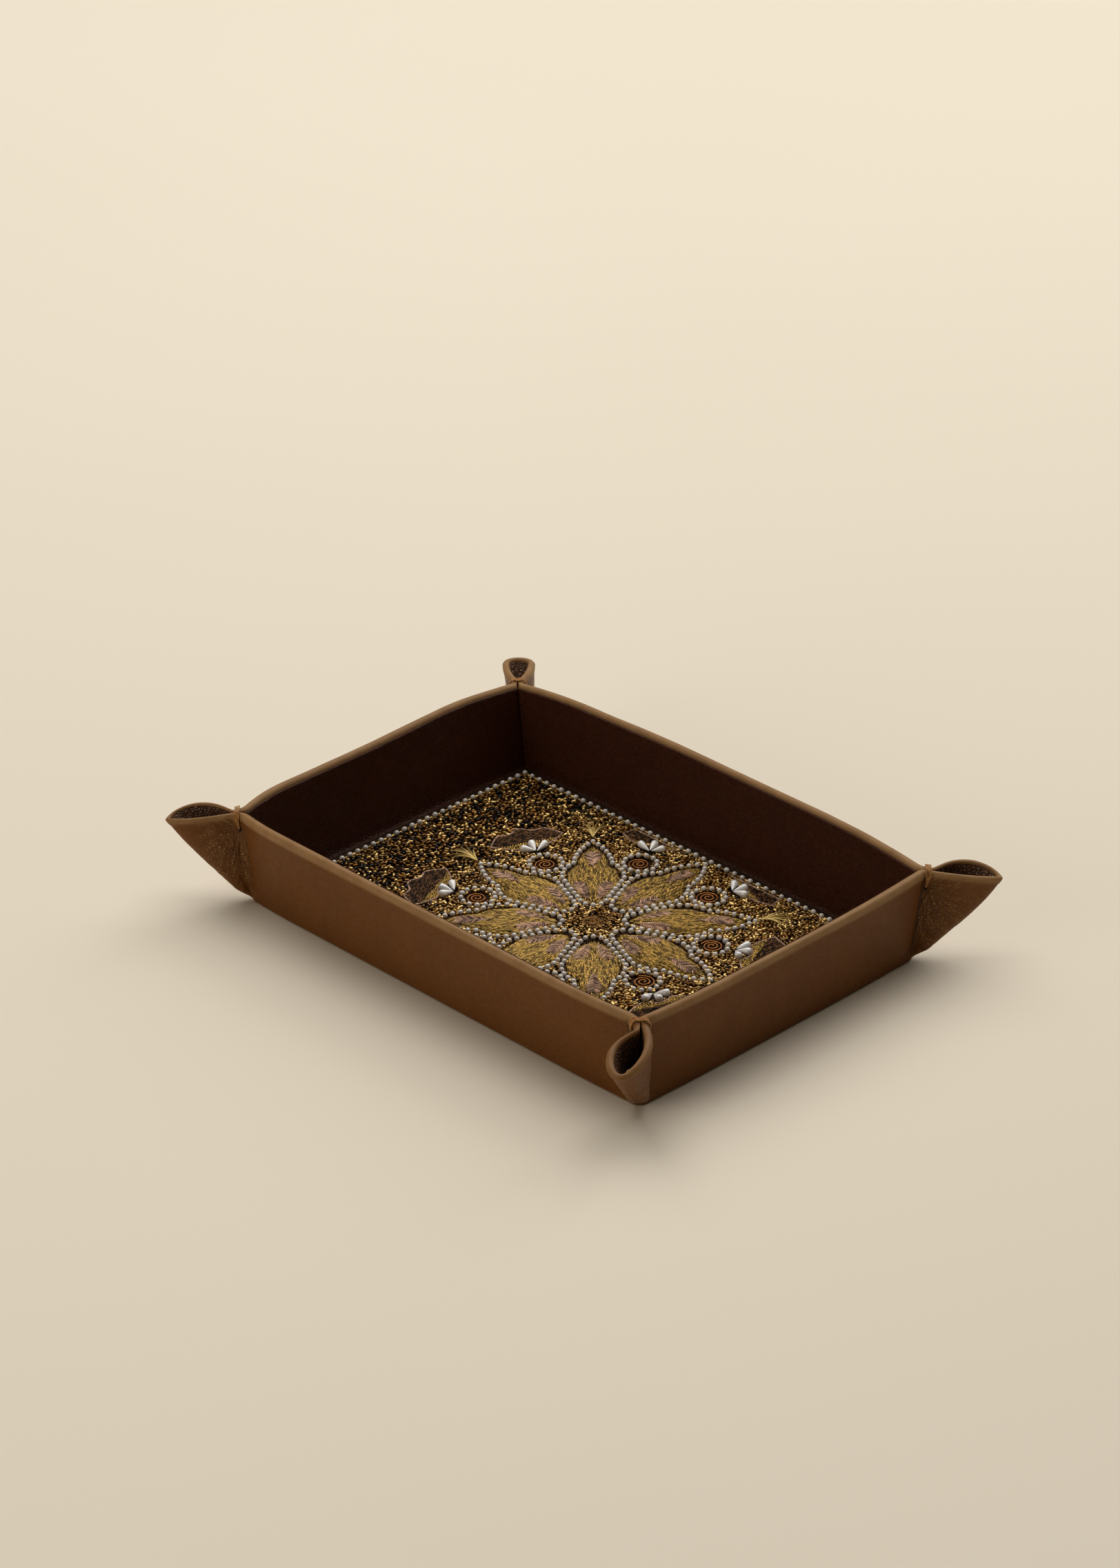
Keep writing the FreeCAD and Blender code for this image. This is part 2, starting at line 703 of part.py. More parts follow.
centre = Vector(ROSETTE_SHIFT, 0, cloth_top)
centre_field_radius = petal_base - PEARL / 2 - BEAD_GAP
centre_opening = petal_base + petal_base_round + PEARL / 2
openings.append(Part.makeCylinder(centre_opening, BED_THICKNESS, centre))
ring_of_beads = Part.makeCylinder(centre_field_radius, BED_THICKNESS, centre)
ring_of_beads = ring_of_beads.cut(Part.makeCylinder(centre_radius + BEAD_GAP, BED_THICKNESS, centre))
bead_field = field.cut(openings)
nodes["bead_field"] = Part.makeCompound(bead_field.Solids + [ring_of_beads])
nodes["centre_patch"] = Part.makeCylinder(centre_radius, CENTRE_THICKNESS, centre)
nodes["border_pearls"] = Part.makeCompound(border_pearls())
for name, solids in groups.items():
    nodes[name] = Part.makeCompound(solids)

os.makedirs("parts", exist_ok=True)
for name, shape in nodes.items():
    shape.exportStep(os.path.join("parts", name + ".step"))
    facts = (name, len(shape.Solids), shape.Volume, shape.isValid())
    print("%-28s solids %4d  volume %9.1f  valid %s" % facts)
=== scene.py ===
# %% [markdown]
# # A leather valet tray with a beaded floor
# The tray is one sheet of brown leather folded over boards. Each corner is pinched and sewn, so that
# the spare leather stands out as an ear, and a panel of beads, pearls and metal thread lies on the
# floor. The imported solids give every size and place. This lesson dresses them: it builds finer meshes
# where the solids are, and gives each mesh a finish made of shader nodes.

# %% Load the solids
import math

import bpy
import numpy as np
from mathutils import Matrix, Vector, noise
from mathutils.bvhtree import BVHTree


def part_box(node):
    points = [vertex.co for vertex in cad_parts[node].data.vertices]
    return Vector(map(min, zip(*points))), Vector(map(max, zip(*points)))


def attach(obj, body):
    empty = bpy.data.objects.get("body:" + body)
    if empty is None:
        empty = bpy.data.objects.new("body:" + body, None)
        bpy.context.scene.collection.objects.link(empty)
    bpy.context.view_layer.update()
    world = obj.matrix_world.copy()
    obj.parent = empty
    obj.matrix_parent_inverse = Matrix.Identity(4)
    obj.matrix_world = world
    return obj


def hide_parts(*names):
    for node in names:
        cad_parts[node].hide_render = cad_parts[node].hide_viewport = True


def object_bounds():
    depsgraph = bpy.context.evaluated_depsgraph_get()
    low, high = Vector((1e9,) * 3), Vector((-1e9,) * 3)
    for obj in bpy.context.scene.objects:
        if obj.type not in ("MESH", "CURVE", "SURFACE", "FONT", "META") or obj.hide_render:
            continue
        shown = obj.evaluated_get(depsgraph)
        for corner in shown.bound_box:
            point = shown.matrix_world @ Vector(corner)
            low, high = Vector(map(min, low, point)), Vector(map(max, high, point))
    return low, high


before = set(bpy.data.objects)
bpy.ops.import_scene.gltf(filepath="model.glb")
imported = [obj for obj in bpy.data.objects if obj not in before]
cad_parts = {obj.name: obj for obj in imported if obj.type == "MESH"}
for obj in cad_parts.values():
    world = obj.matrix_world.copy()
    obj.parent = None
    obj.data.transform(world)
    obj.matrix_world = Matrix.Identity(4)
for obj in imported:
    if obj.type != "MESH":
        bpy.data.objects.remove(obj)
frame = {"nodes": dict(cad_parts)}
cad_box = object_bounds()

MM = 0.001
rng = np.random.default_rng(7)
cad_size = [round(1000 * x) for x in cad_box[1] - cad_box[0]]
print("solids from", len(frame["nodes"]), "nodes, box in mm:", cad_size)

# %% [markdown]
# ## Small tools for meshes
# Blender can model each bead by hand or with modifiers, but a panel with thousands of beads and
# stitches is quicker to make from arrays. A form is a set of points with groups of faces. It is turned
# once, like a bowl on a lathe, and copied to many places by one matrix product. The helpers below make
# such forms, and turn a form into a piece that rides on the tray's only body.

# %% Forms
SAME_PLACE = 0.002 * MM
TUBE_UPRIGHT = (0.03, 0.02, 1.0)


def grid_faces(rows, columns, wrap=False, loop=False):
    """Faces between rows of points. Wrap closes each row, and loop joins the last row to the first."""
    row = np.arange(rows if loop else rows - 1)[:, None]
    column = np.arange(columns if wrap else columns - 1)
    here, above = row * columns, (row + 1) % rows * columns
    after = (column + 1) % columns
    return np.stack([here + column, here + after, above + after, above + column], axis=-1).reshape(-1, 4)


def capped(rings, sides, start, end):
    """Form of rings of points, closed at each end by a fan to one point."""
    side = np.arange(sides)
    after = (side + 1) % sides
    last = len(rings) - sides
    caps = np.vstack([
        np.stack([np.full(sides, len(rings)), after, side], axis=1),
        np.stack([np.full(sides, len(rings) + 1), last + side, last + after], axis=1)])
    return np.vstack([rings, start, end]), [grid_faces(len(rings) // sides, sides, True), caps]


def rings_about_x(profile, sides):
    """Rings of points about X, one for each (x, radius) pair."""
    x, radius = np.array(profile, float).T
    angle = 2 * np.pi * (np.arange(sides) + 0.5) / sides
    return np.column_stack([
        np.repeat(x, sides),
        np.outer(radius, np.cos(angle)).ravel(),
        np.outer(radius, np.sin(angle)).ravel()])


def turned_form(profile, sides):
    """Form turned about X from (x, radius) pairs; it starts and ends on the axis."""
    rings = rings_about_x(profile[1:-1], sides)
    return capped(rings, sides, (profile[0][0], 0, 0), (profile[-1][0], 0, 0))


def ring_form(profile, sides):
    """Form with a bore along X, turned from a closed loop of (x, radius) pairs."""
    return rings_about_x(profile, sides), [grid_faces(len(profile), sides, True, True)]


def unit(vectors):
    return vectors / np.linalg.norm(vectors, axis=-1, keepdims=True)


def path_frame(path, upright, closed=False):
    """Directions to the side and up at each point of a path."""
    if closed:
        tangent = unit(np.roll(path, -1, axis=0) - np.roll(path, 1, axis=0))
    else:
        tangent = unit(np.gradient(path, axis=0))
    across = unit(np.cross(tangent, upright))
    return across, np.cross(across, tangent)


def tube(path, radius, sides, closed=False):
    """Round tube along a path; the radius may change along it."""
    across, up = path_frame(path, TUBE_UPRIGHT, closed)
    angle = (2 * np.pi * np.arange(sides) / sides)[:, None]
    ring = np.cos(angle) * across[:, None] + np.sin(angle) * up[:, None]
    rings = (path[:, None] + np.broadcast_to(radius, len(path))[:, None, None] * ring).reshape(-1, 3)
    if closed:
        return rings, [grid_faces(len(path), sides, True, True)]
    return capped(rings, sides, path[0], path[-1])


def copies(form, places, axes, sizes):
    """Copies of a form at many places, each with its own three axes and three sizes."""
    points, groups = form
    spread = np.einsum("nij,pj->npi", axes * sizes[:, None, :], points) + places[:, None, :]
    step = len(points) * np.arange(len(places))[:, None, None]
    return spread.reshape(-1, 3), [(group[None] + step).reshape(-1, group.shape[1]) for group in groups]


def joined(forms):
    """One form from several with the same kinds of faces."""
    starts = np.cumsum([0] + [len(points) for points, _ in forms])
    kinds = zip(*[groups for _, groups in forms])
    groups = [np.vstack([faces + start for faces, start in zip(kind, starts)]) for kind in kinds]
    return np.vstack([points for points, _ in forms]), groups


def mesh_piece(name, form, finish, slot, replaces=(), **values):
    """Piece that rides on the tray. A value is given once, for each copy in the form, or for each point."""
    points, groups = form
    mesh = bpy.data.meshes.new(name)
    corners = np.concatenate([np.asarray(group).ravel() for group in groups]).astype(np.int32)
    sizes = np.concatenate([np.full(len(group), len(group[0])) for group in groups])
    mesh.vertices.add(len(points))
    mesh.vertices.foreach_set("co", np.asarray(points, np.float32).ravel())
    mesh.loops.add(len(corners))
    mesh.loops.foreach_set("vertex_index", corners)
    mesh.polygons.add(len(sizes))
    mesh.polygons.foreach_set("loop_start", (np.cumsum(sizes) - sizes).astype(np.int32))
    mesh.polygons.foreach_set("use_smooth", np.full(len(sizes), True))
    mesh.update(calc_edges=True)
    for attribute, numbers in values.items():
        numbers = np.ravel(numbers).astype(np.float32)
        layer = mesh.attributes.new(attribute, "FLOAT", "POINT")
        layer.data.foreach_set("value", np.repeat(numbers, len(points) // len(numbers)))
    mesh.materials.append(finish.material)
    piece = bpy.data.objects.new(name, mesh)
    bpy.context.scene.collection.objects.link(piece)
    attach(piece, "root")
    if replaces:
        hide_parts(*replaces)
    print("%-18s %6d points %6d faces" % (name, len(points), len(sizes)))
    return piece


print("forms ready")

# %% Places and directions
def solids_of(node):
    """Points of each solid in a node. Vertices at the same place count as one, and edges join them."""
    mesh = frame["nodes"][node].data
    points = np.empty(3 * len(mesh.vertices), np.float32)
    mesh.vertices.foreach_get("co", points)
    points = points.reshape(-1, 3).astype(float)
    ends = np.empty(2 * len(mesh.edges), np.int32)
    mesh.edges.foreach_get("vertices", ends)
    places, owner = np.unique(np.round(points / SAME_PLACE).astype(np.int64), axis=0, return_inverse=True)
    first, second = owner.ravel()[ends.reshape(-1, 2)].T
    label = np.arange(len(places))
    while True:
        lower = np.minimum(label[first], label[second])
        new = label.copy()
        np.minimum.at(new, first, lower)
        np.minimum.at(new, second, lower)
        new = new[new]
        if np.array_equal(new, label):
            break
        label = new
    solid = label[owner.ravel()]
    return [points[solid == name] for name in np.unique(solid)]


def middle_of(points):
    return (points.min(axis=0) + points.max(axis=0)) / 2


def heading_of(way):
    return math.atan2(way[1], way[0])


def ways(headings):
    """Directions on the floor along headings."""
    return np.column_stack([np.cos(headings), np.sin(headings)])


def level_axes(headings, tilt=0.0, roll=0.0):
    """Axes of copies whose X points along a heading on the floor, tipped up by tilt and turned by roll."""
    tilt = np.broadcast_to(tilt, len(headings))
    roll = np.broadcast_to(roll, len(headings))[:, None]
    c, s = ways(headings).T
    along = np.column_stack([c * np.cos(tilt), s * np.cos(tilt), np.sin(tilt)])
    across = np.column_stack([-s, c, np.zeros_like(c)])
    up = np.cross(along, across)
    return np.stack([
        along,
        across * np.cos(roll) + up * np.sin(roll),
        up * np.cos(roll) - across * np.sin(roll)], axis=2)


def run_along(path):
    """Length of a path from its start to each of its points."""
    return np.concatenate([[0], np.cumsum(np.linalg.norm(np.diff(path, axis=0), axis=1))])


def smooth_noise(points, size, seed):
    """Noise from about -1 to 1 at each point, with swells about as large as size."""
    shift = Vector((7.3, 3.1, 5.7)) * seed
    values = [noise.noise(Vector(point) / size + shift) for point in points.reshape(-1, 3)]
    return np.reshape(values, points.shape[:-1])


def eased(value):
    """Smooth step from 0 to 1."""
    value = np.clip(value, 0, 1)
    return value * value * (3 - 2 * value)


print("largest node:", max(frame["nodes"], key=lambda node: len(frame["nodes"][node].data.vertices)))

# %% [markdown]
# ## Small tools for finishes
# A finish is a Principled shader. What is the same all over is set on the shader itself, and what
# varies, such as grain or a worn edge, comes from texture nodes. Colours are written as they look on a
# screen, from 0 to 255, and the shader wants them linear, so one helper converts them.

# %% Finish helpers
NOISE_ROUGHNESS = 0.55


def screen(red, green, blue):
    """Linear colour of a screen colour."""
    shares = [value / 255 for value in (red, green, blue)]
    return tuple(s / 12.92 if s <= 0.04045 else ((s + 0.055) / 1.055) ** 2.4 for s in shares) + (1.0,)


class Finish:
    """Material with one Principled shader, and the nodes that feed it."""

    def __init__(self, name, settings):
        self.material = bpy.data.materials.new(name)
        self.material.use_nodes = True
        self.tree = self.material.node_tree
        self.shader = self.tree.nodes["Principled BSDF"]
        for socket, value in settings.items():
            self.shader.inputs[socket].default_value = value

    def feed(self, socket, output):
        self.tree.links.new(output, self.shader.inputs[socket])

    def node(self, kind, inputs, **options):
        """Node with its options set, and its inputs set or linked."""
        node = self.tree.nodes.new("ShaderNode" + kind)
        for option, value in options.items():
            setattr(node, option, value)
        for socket, value in inputs.items():
            if isinstance(value, bpy.types.NodeSocket):
                self.tree.links.new(value, node.inputs[socket])
            else:
                node.inputs[socket].default_value = value
        return node

    def place(self):
        """Coordinates of the object in metres."""
        return self.node("TexCoord", {}).outputs["Object"]

    def noise(self, size, detail=3.0):
        """Noise with swells about as large as size."""
        inputs = {"Vector": self.place(), "Scale": 1 / size, "Detail": detail, "Roughness": NOISE_ROUGHNESS}
        return self.node("TexNoise", inputs).outputs["Fac"]

    def cells(self, size):
        """Distance to the edge in a pattern of cells about as large as size."""
        inputs = {"Vector": self.place(), "Scale": 1 / size}
        return self.node("TexVoronoi", inputs, feature="DISTANCE_TO_EDGE").outputs["Distance"]

    def value(self, name):
        """Value stored on the mesh under a name."""
        return self.node("Attribute", {}, attribute_name=name).outputs["Fac"]

    def reckon(self, operation, first, second):
        return self.node("Math", {0: first, 1: second}, operation=operation).outputs[0]

    def mapped(self, value, low, high, new_low=0.0, new_high=1.0):
        inputs = {"Value": value, "From Min": low, "From Max": high, "To Min": new_low, "To Max": new_high}
        return self.node("MapRange", inputs).outputs["Result"]

    def mixed(self, share, first, second, blend="MIX"):
        """Blend of two colours."""
        inputs = {0: share, 6: first, 7: second}
        return self.node("Mix", inputs, data_type="RGBA", blend_type=blend).outputs[2]

    def raised(self, height, depth, **normal):
        """Bump from a height between 0 and 1 that is depth metres deep, on another normal if given."""
        inputs = {"Height": height, "Distance": depth, "Strength": 1.0, **normal}
        return self.node("Bump", inputs).outputs["Normal"]

    def clouded(self, size, low, dark, high, light):
        """Base colour from a noise that is dark up to one height and light from another on."""
        ramp = self.node("ValToRGB", {"Fac": self.noise(size)})
        for element, position, colour in zip(ramp.color_ramp.elements, (low, high), (dark, light)):
            element.position = position
            element.color = colour
        self.feed("Base Color", ramp.outputs["Color"])


print("half grey on a screen is %.3f for the shader" % screen(128, 128, 128)[0])

# %% [markdown]
# ## Camera, light and floor
# The photograph was taken with a long lens from a corner, about thirty degrees above the table, and
# from the places of the tray's corners in it the camera can be worked out. Two wide soft lamps hang
# above and behind the tray, so the rims shine and the near walls are in gentle shade, and a small warm
# one in front lifts that shade a little. The floor is one pale cream sheet.

# %% Camera
IMAGE_HEIGHT = 2274
IMAGE_MIDDLE = (812, 1137)
ORIGIN_PIXEL = (840, 1347)
FOCAL_PIXELS = 6793
AZIMUTH = math.radians(44.98)
ELEVATION = math.radians(30.36)
DISTANCE = 1.741
SENSOR_MM = 36
FARTHEST = 20

scene = bpy.context.scene
level = math.cos(ELEVATION)
back = Vector((math.sin(AZIMUTH) * level, -math.cos(AZIMUTH) * level, math.sin(ELEVATION)))
right = Vector((math.cos(AZIMUTH), math.sin(AZIMUTH), 0))
up = back.cross(right)
place = back * DISTANCE
across = IMAGE_MIDDLE[0] - ORIGIN_PIXEL[0]
down = IMAGE_MIDDLE[1] - ORIGIN_PIXEL[1]
back = (back * FOCAL_PIXELS - right * across + up * down).normalized()
right = Vector((0, 0, 1)).cross(back).normalized()
up = back.cross(right)
camera_data = bpy.data.cameras.new("camera")
camera_data.sensor_width = SENSOR_MM
camera_data.lens = camera_data.sensor_width * FOCAL_PIXELS / IMAGE_HEIGHT
camera_data.clip_end = FARTHEST
camera = bpy.data.objects.new("camera", camera_data)
scene.collection.objects.link(camera)
camera_turn = Matrix((right, up, back)).transposed()
camera.matrix_world = Matrix.Translation(place) @ camera_turn.to_4x4()
scene.camera = camera
print("lens %.1f mm" % camera_data.lens)

# %% Light and floor
FLOOR_SIZE = 12.0
AMBIENT = 0.095


def soft_lamp(name, place, size, power, colour):
    """Square lamp that looks at the tray."""
    lamp = bpy.data.lights.new(name, "AREA")
    lamp.size = size
    lamp.energy = power
    lamp.color = colour
    holder = bpy.data.objects.new(name, lamp)
    scene.collection.objects.link(holder)
    holder.location = place
    holder.rotation_euler = (-Vector(place)).to_track_quat("-Z", "Y").to_euler()


soft_lamp("key_lamp", (-0.7, 0.6, 1.9), 2.5, 43, (1.0, 0.975, 0.94))
soft_lamp("front_lamp", (-0.25, -1.8, 0.55), 1.0, 7.5, (1.0, 0.9, 0.77))
soft_lamp("back_lamp", (-0.1, 2.7, 1.7), 1.8, 25, (1.0, 0.99, 0.98))

world = bpy.data.worlds.new("studio")
scene.world = world
world.use_nodes = True
sky = world.node_tree.nodes["Background"].inputs
sky["Color"].default_value = screen(240, 226, 202)
sky["Strength"].default_value = AMBIENT
scene.view_settings.view_transform = "Standard"

floor_finish = Finish("cream_paper", {"Roughness": 0.8, "Specular IOR Level": 0.2})
floor_finish.clouded(1.2, 0.3, screen(236, 226, 207), 0.7, screen(240, 231, 213))
half = FLOOR_SIZE / 2
floor_mesh = bpy.data.meshes.new("floor")
floor_corners = [(x * half, y * half, 0) for x, y in ((-1, -1), (1, -1), (1, 1), (-1, 1))]
floor_mesh.from_pydata(floor_corners, [], [(0, 1, 2, 3)])
floor_mesh.materials.append(floor_finish.material)
floor = bpy.data.objects.new("floor", floor_mesh)
scene.collection.objects.link(floor)
print("floor of", FLOOR_SIZE, "m")

# %% [markdown]
# ## The outer leather
# On the real tray one sheet covers the base, the walls and the ears without a seam, so it is one mesh
# here. A closed outline is drawn round the tray at each height. Along the walls it is straight. At a
# corner it turns into a crease, runs out along the pinched neck, swells to the side of the ear and
# comes back round the tip. The ears shrink towards the base, and no two are alike: each has its own
# widths, lean and drop. At the top the outlines roll over the edge as a half round and go a little way
# down inside.

# %% Sizes of the walls and ears
WALL_LEAN = math.radians(4)
RIM_ROUND = 1.5 * MM
RIM_THICKNESS = 3.4 * MM
BASE_BEND = 1.2 * MM
EAR_REACH = 26.5 * MM

# Each ear, in mm: its side of the tray, the thickness of its lip, how far its tip drops and bows, how
# round the tip is, where along the ear it is widest, how much its lip is rubbed, how full its lower
# edge is, and its half width and crease before and after the tip on a walk round the tray against the
# clock
EARS = {
    "front_right": dict(
        side=(1, -1), lip=2.6, drop=5.8, bow=-7.2, tip=4.0, belly=0.52, rub=0.5, full=0.0,
        widths=(9.2, 5.0), creases=(5.0, 0.9)),
    "back_right": dict(
        side=(1, 1), lip=1.7, drop=2.8, bow=0.0, tip=3.4, belly=0.58, rub=1.0, full=12.0,
        widths=(2.9, 10.4), creases=(0.9, 3.0)),
    "back_left": dict(
        side=(-1, 1), lip=2.4, drop=2.8, bow=0.0, tip=6.5, belly=0.8, rub=1.0, full=3.0,
        widths=(6.0, 6.2), creases=(2.4, 2.4)),
    "front_left": dict(
        side=(-1, -1), lip=1.7, drop=2.8, bow=0.0, tip=3.4, belly=0.58, rub=0.8, full=8.0,
        widths=(10.2, 3.1), creases=(3.0, 3.6)),
}

rim_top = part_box("front_cover")[1].z
lean_out = math.tan(WALL_LEAN)
base_half_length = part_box("right_cover")[1].x - (rim_top - RIM_ROUND) * lean_out
base_half_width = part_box("back_cover")[1].y - (rim_top - RIM_ROUND) * lean_out
print("base %.1f by %.1f mm" % (2000 * base_half_length, 2000 * base_half_width))

# %% [markdown]
# An ear is drawn with Bezier curves in its own flat frame, one half at a time: the first number of a
# place runs out along the corner and the second to the side. Near the base the outline eases into a
# plain rounded corner, the root. The numbers in the curves place their handles as shares of the lengths
# beside them.

# %% Outline of an ear
ROOT_REACH = 1.0 * MM
ROOT_IN = 2.2 * MM
ROOT_SWELL = 1.2 * MM
ROOT_ROUND = 6.5 * MM
ROOT_LEVEL = 0.15
ROOT_ROOM = 4 * MM
NECK_HALF = 2.0 * MM
CREASE_SINK = 0.6 * MM
LOW_CREASE_SHARE = 0.3
LEAST_RUN = 0.4 * MM
LEAST_REACH = 0.5 * MM
CORNER_RUN = 16 * MM
WALL_STEPS = 6
CREASE_STEPS = 10
SIDE_STEPS = 26
TIP_STEPS = 20
ALONG_WALL = np.array((-1, 1)) / math.sqrt(2)
OUTWARD = np.array((1.0, 0.0))
ASIDE = np.array((0.0, 1.0))


def bezier(points, count):
    """Points along a Bezier curve, without its last one."""
    share = (np.arange(count) / count)[:, None]
    layers = [np.repeat(np.array(point, float)[None], count, axis=0) for point in points]
    while len(layers) > 1:
        layers = [low + (high - low) * share for low, high in zip(layers, layers[1:])]
    return layers[0]


def ear_half(shape, after, level):
    """Half of an ear's outline from the wall to the tip, at a level from the base, 0, to the rim, 1."""
    reach = ROOT_REACH + (EAR_REACH - ROOT_REACH) * level + shape["full"] * MM * level ** 1.5 * (1 - level)
    root_half = NECK_HALF + ROOT_SWELL
    wide = root_half + (shape["widths"][after] * MM - root_half) * level
    fold = shape["creases"][after] * MM * (LOW_CREASE_SHARE + (1 - LOW_CREASE_SHARE) * level ** 2)
    corner = NECK_HALF * np.array((-1, 1))
    wall_start = CORNER_RUN * ALONG_WALL
    wall_end = corner + (fold + 1.5 * CREASE_SINK) * ALONG_WALL
    sink = corner - CREASE_SINK * np.array((0.4, 0.9)) * min(1.0, 3 * level)
    neck = corner + (fold + CREASE_SINK) * OUTWARD
    middle = np.array((max(shape["belly"] * reach, neck[0] + LEAST_RUN), wide))
    tip = np.array((max(reach, middle[0] + LEAST_RUN), 0.0))
    run = (middle[0] - neck[0]) * OUTWARD
    tip_run = (tip[0] - middle[0]) * OUTWARD
    tip_side = min(shape["tip"] * MM, 0.6 * wide) * ASIDE
    leave = neck + 0.22 * run + 0.32 * (wide - NECK_HALF) * ASIDE
    ear = np.concatenate([
        bezier([wall_start, wall_end], WALL_STEPS),
        bezier([wall_end, sink, neck], CREASE_STEPS),
        bezier([neck, leave, middle - 0.5 * run, middle], SIDE_STEPS),
        bezier([middle, middle + 0.5 * tip_run, tip + tip_side, tip], TIP_STEPS), tip[None]])
    bend = ROOT_ROUND * ALONG_WALL
    nose = tip - ROOT_IN * OUTWARD
    nose_side = 0.45 * bend[1] * ASIDE
    root = np.concatenate([
        bezier([wall_start, 2 * bend], WALL_STEPS),
        bezier([2 * bend, bend], CREASE_STEPS),
        bezier([bend, 0.65 * bend, nose + nose_side, nose], SIDE_STEPS + TIP_STEPS), nose[None]])
    return root + (ear - root) * eased(level / ROOT_LEVEL)


def corner_frame(ear, height):
    """Place of a tray corner at a height, with its directions outward and to the side."""
    x, y = EARS[ear]["side"]
    spread = height * lean_out
    place = np.array((x * (base_half_length + spread), y * (base_half_width + spread)))
    return place, np.array((x, y)) / math.sqrt(2), np.array((-y, x)) / math.sqrt(2)


def ear_outline(ear, level):
    """Outline round one corner: places, how far out each is, and the spots on the ear's middle line."""
    shape = EARS[ear]
    before, after = ear_half(shape, 0, level), ear_half(shape, 1, level)
    reach = max(before[-1, 0], LEAST_REACH)
    spots = np.concatenate([before * (1, -1), after[-2::-1]])
    share = np.clip(spots[:, 0] / reach, 0, 1)
    bow = shape["bow"] * MM * level
    spots[:, 1] += bow * share ** 2
    place, outward, aside = corner_frame(ear, level * rim_top)
    tip_room = max(min(shape["tip"] * MM, reach / 2), ROOT_ROOM * (1 - eased(level / ROOT_LEVEL)))
    middle_out = np.minimum(spots[:, 0], before[-1, 0] - tip_room)
    middle_aside = bow * np.clip(middle_out / reach, 0, 1) ** 2
    flat = place + spots[:, :1] * outward + spots[:, 1:] * aside
    return flat, share, place + middle_out[:, None] * outward + middle_aside[:, None] * aside


print(len(ear_outline("front_left", 1)[0]), "points round an ear")

# %% Outline of the whole tray
LONG_STEPS = 60
SHORT_STEPS = 44
wall_steps = [SHORT_STEPS, LONG_STEPS] * 2


def tray_outline(level):
    """Outline of the tray at a level: places, how far out each is, and spots on the middle lines."""
    corners = [ear_outline(ear, level) for ear in EARS]
    parts = []
    for (flat, share, middle), following, steps in zip(corners, corners[1:] + corners[:1], wall_steps):
        run = (np.arange(1, steps) / steps)[:, None]
        wall = flat[-1] + (following[0][0] - flat[-1]) * run
        parts += [(flat, share, middle), (wall, np.zeros(steps - 1), wall)]
    return [np.concatenate(kind) for kind in zip(*parts)]


def by_station(corner_values, wall_value):
    """Values round the tray: those of each corner, then one value for the wall that follows."""
    pairs = zip(corner_values, wall_steps)
    return np.concatenate([np.append(corner, np.full(steps - 1, wall_value)) for corner, steps in pairs])


half_weight = np.concatenate([
    np.zeros(WALL_STEPS),
    eased((np.arange(CREASE_STEPS) + 0.5) / CREASE_STEPS),
    np.ones(SIDE_STEPS + TIP_STEPS)])
corner_weight = np.concatenate([half_weight, [1.0], half_weight[::-1]])
corner_side = np.repeat((-1, 0, 1), (len(half_weight), 1, len(half_weight)))
ear_weight = by_station([corner_weight] * len(EARS), 0.0)
ear_number = by_station([np.full(len(corner_weight), index) for index in range(len(EARS))], -1)
station_side = by_station([corner_side] * len(EARS), 0)
stations = len(ear_weight)


def ear_value(key, scale, elsewhere):
    """A value from the table of ears at each point round the tray."""
    return np.array([shape[key] * scale for shape in EARS.values()] + [elsewhere])[ear_number]


def on_ears(wall_value, value):
    """One value on the walls that changes to another on the ears."""
    return wall_value + (value - wall_value) * ear_weight


ear_drop = ear_value("drop", MM, 0.0)
thickness = on_ears(RIM_THICKNESS, ear_value("lip", MM, RIM_THICKNESS))
print(stations, "points round the tray")

# %% Roll the outlines into one sheet
WALL_ROWS = 60
BEND_ROWS = 6
RIM_ROWS = 12
HEM_ROWS = 4
HEM_DEPTH = 7 * MM
LIP_HEM_DEPTH = 0.8 * MM
PRESSED = 0.92
EAR_PART = 0.3


def sheet_row(level, inset, height, most=PRESSED):
    """One row of points: the outline at a level, drawn in by inset, at a height, with the ear's drop."""
    flat, share, middle = tray_outline(level)
    run = np.roll(flat, -1, axis=0) - np.roll(flat, 1, axis=0)
    inward = unit(np.column_stack([-run[:, 1], run[:, 0]]))
    to_middle = middle - flat
    room = np.maximum(np.linalg.norm(to_middle, axis=1), 1e-6)
    weight = ear_weight[:, None]
    direction = unit(inward * (1 - weight) + to_middle / room[:, None] * weight)
    limit = np.where(ear_weight > EAR_PART, most * room, 1.0)
    flat = flat + direction * np.minimum(inset, limit)[:, None]
    return np.column_stack([flat, height - ear_drop * level * (share * ear_weight)])


def wall_height(level):
    """Height of the wall at a level, below the round of the rim."""
    return BASE_BEND + (rim_top - thickness / 2 - BASE_BEND) * level


rows = []
for angle in np.linspace(0, np.pi / 2, BEND_ROWS):
    rows.append(sheet_row(0, BASE_BEND * (1 - math.sin(angle)), BASE_BEND * (1 - math.cos(angle))))
for level in np.linspace(0, 1, WALL_ROWS)[1:]:
    rows.append(sheet_row(level, 0.0, wall_height(level)))
outer_rows = len(rows)
for angle in np.linspace(0, np.pi, RIM_ROWS)[1:]:
    inset = thickness / 2 * (1 - math.cos(angle))
    rows.append(sheet_row(1, inset, rim_top - thickness / 2 * (1 - math.sin(angle))))
for share in np.linspace(0, 1, HEM_ROWS)[1:]:
    wall_row, lip_row = [
        sheet_row(1 - share * depth / rim_top, thickness, rim_top - thickness / 2 - share * depth)
        for depth in (HEM_DEPTH, LIP_HEM_DEPTH)]
    rows.append(wall_row + (lip_row - wall_row) * ear_weight[:, None])
sheet = np.array(rows)
print("leather rows", len(sheet))

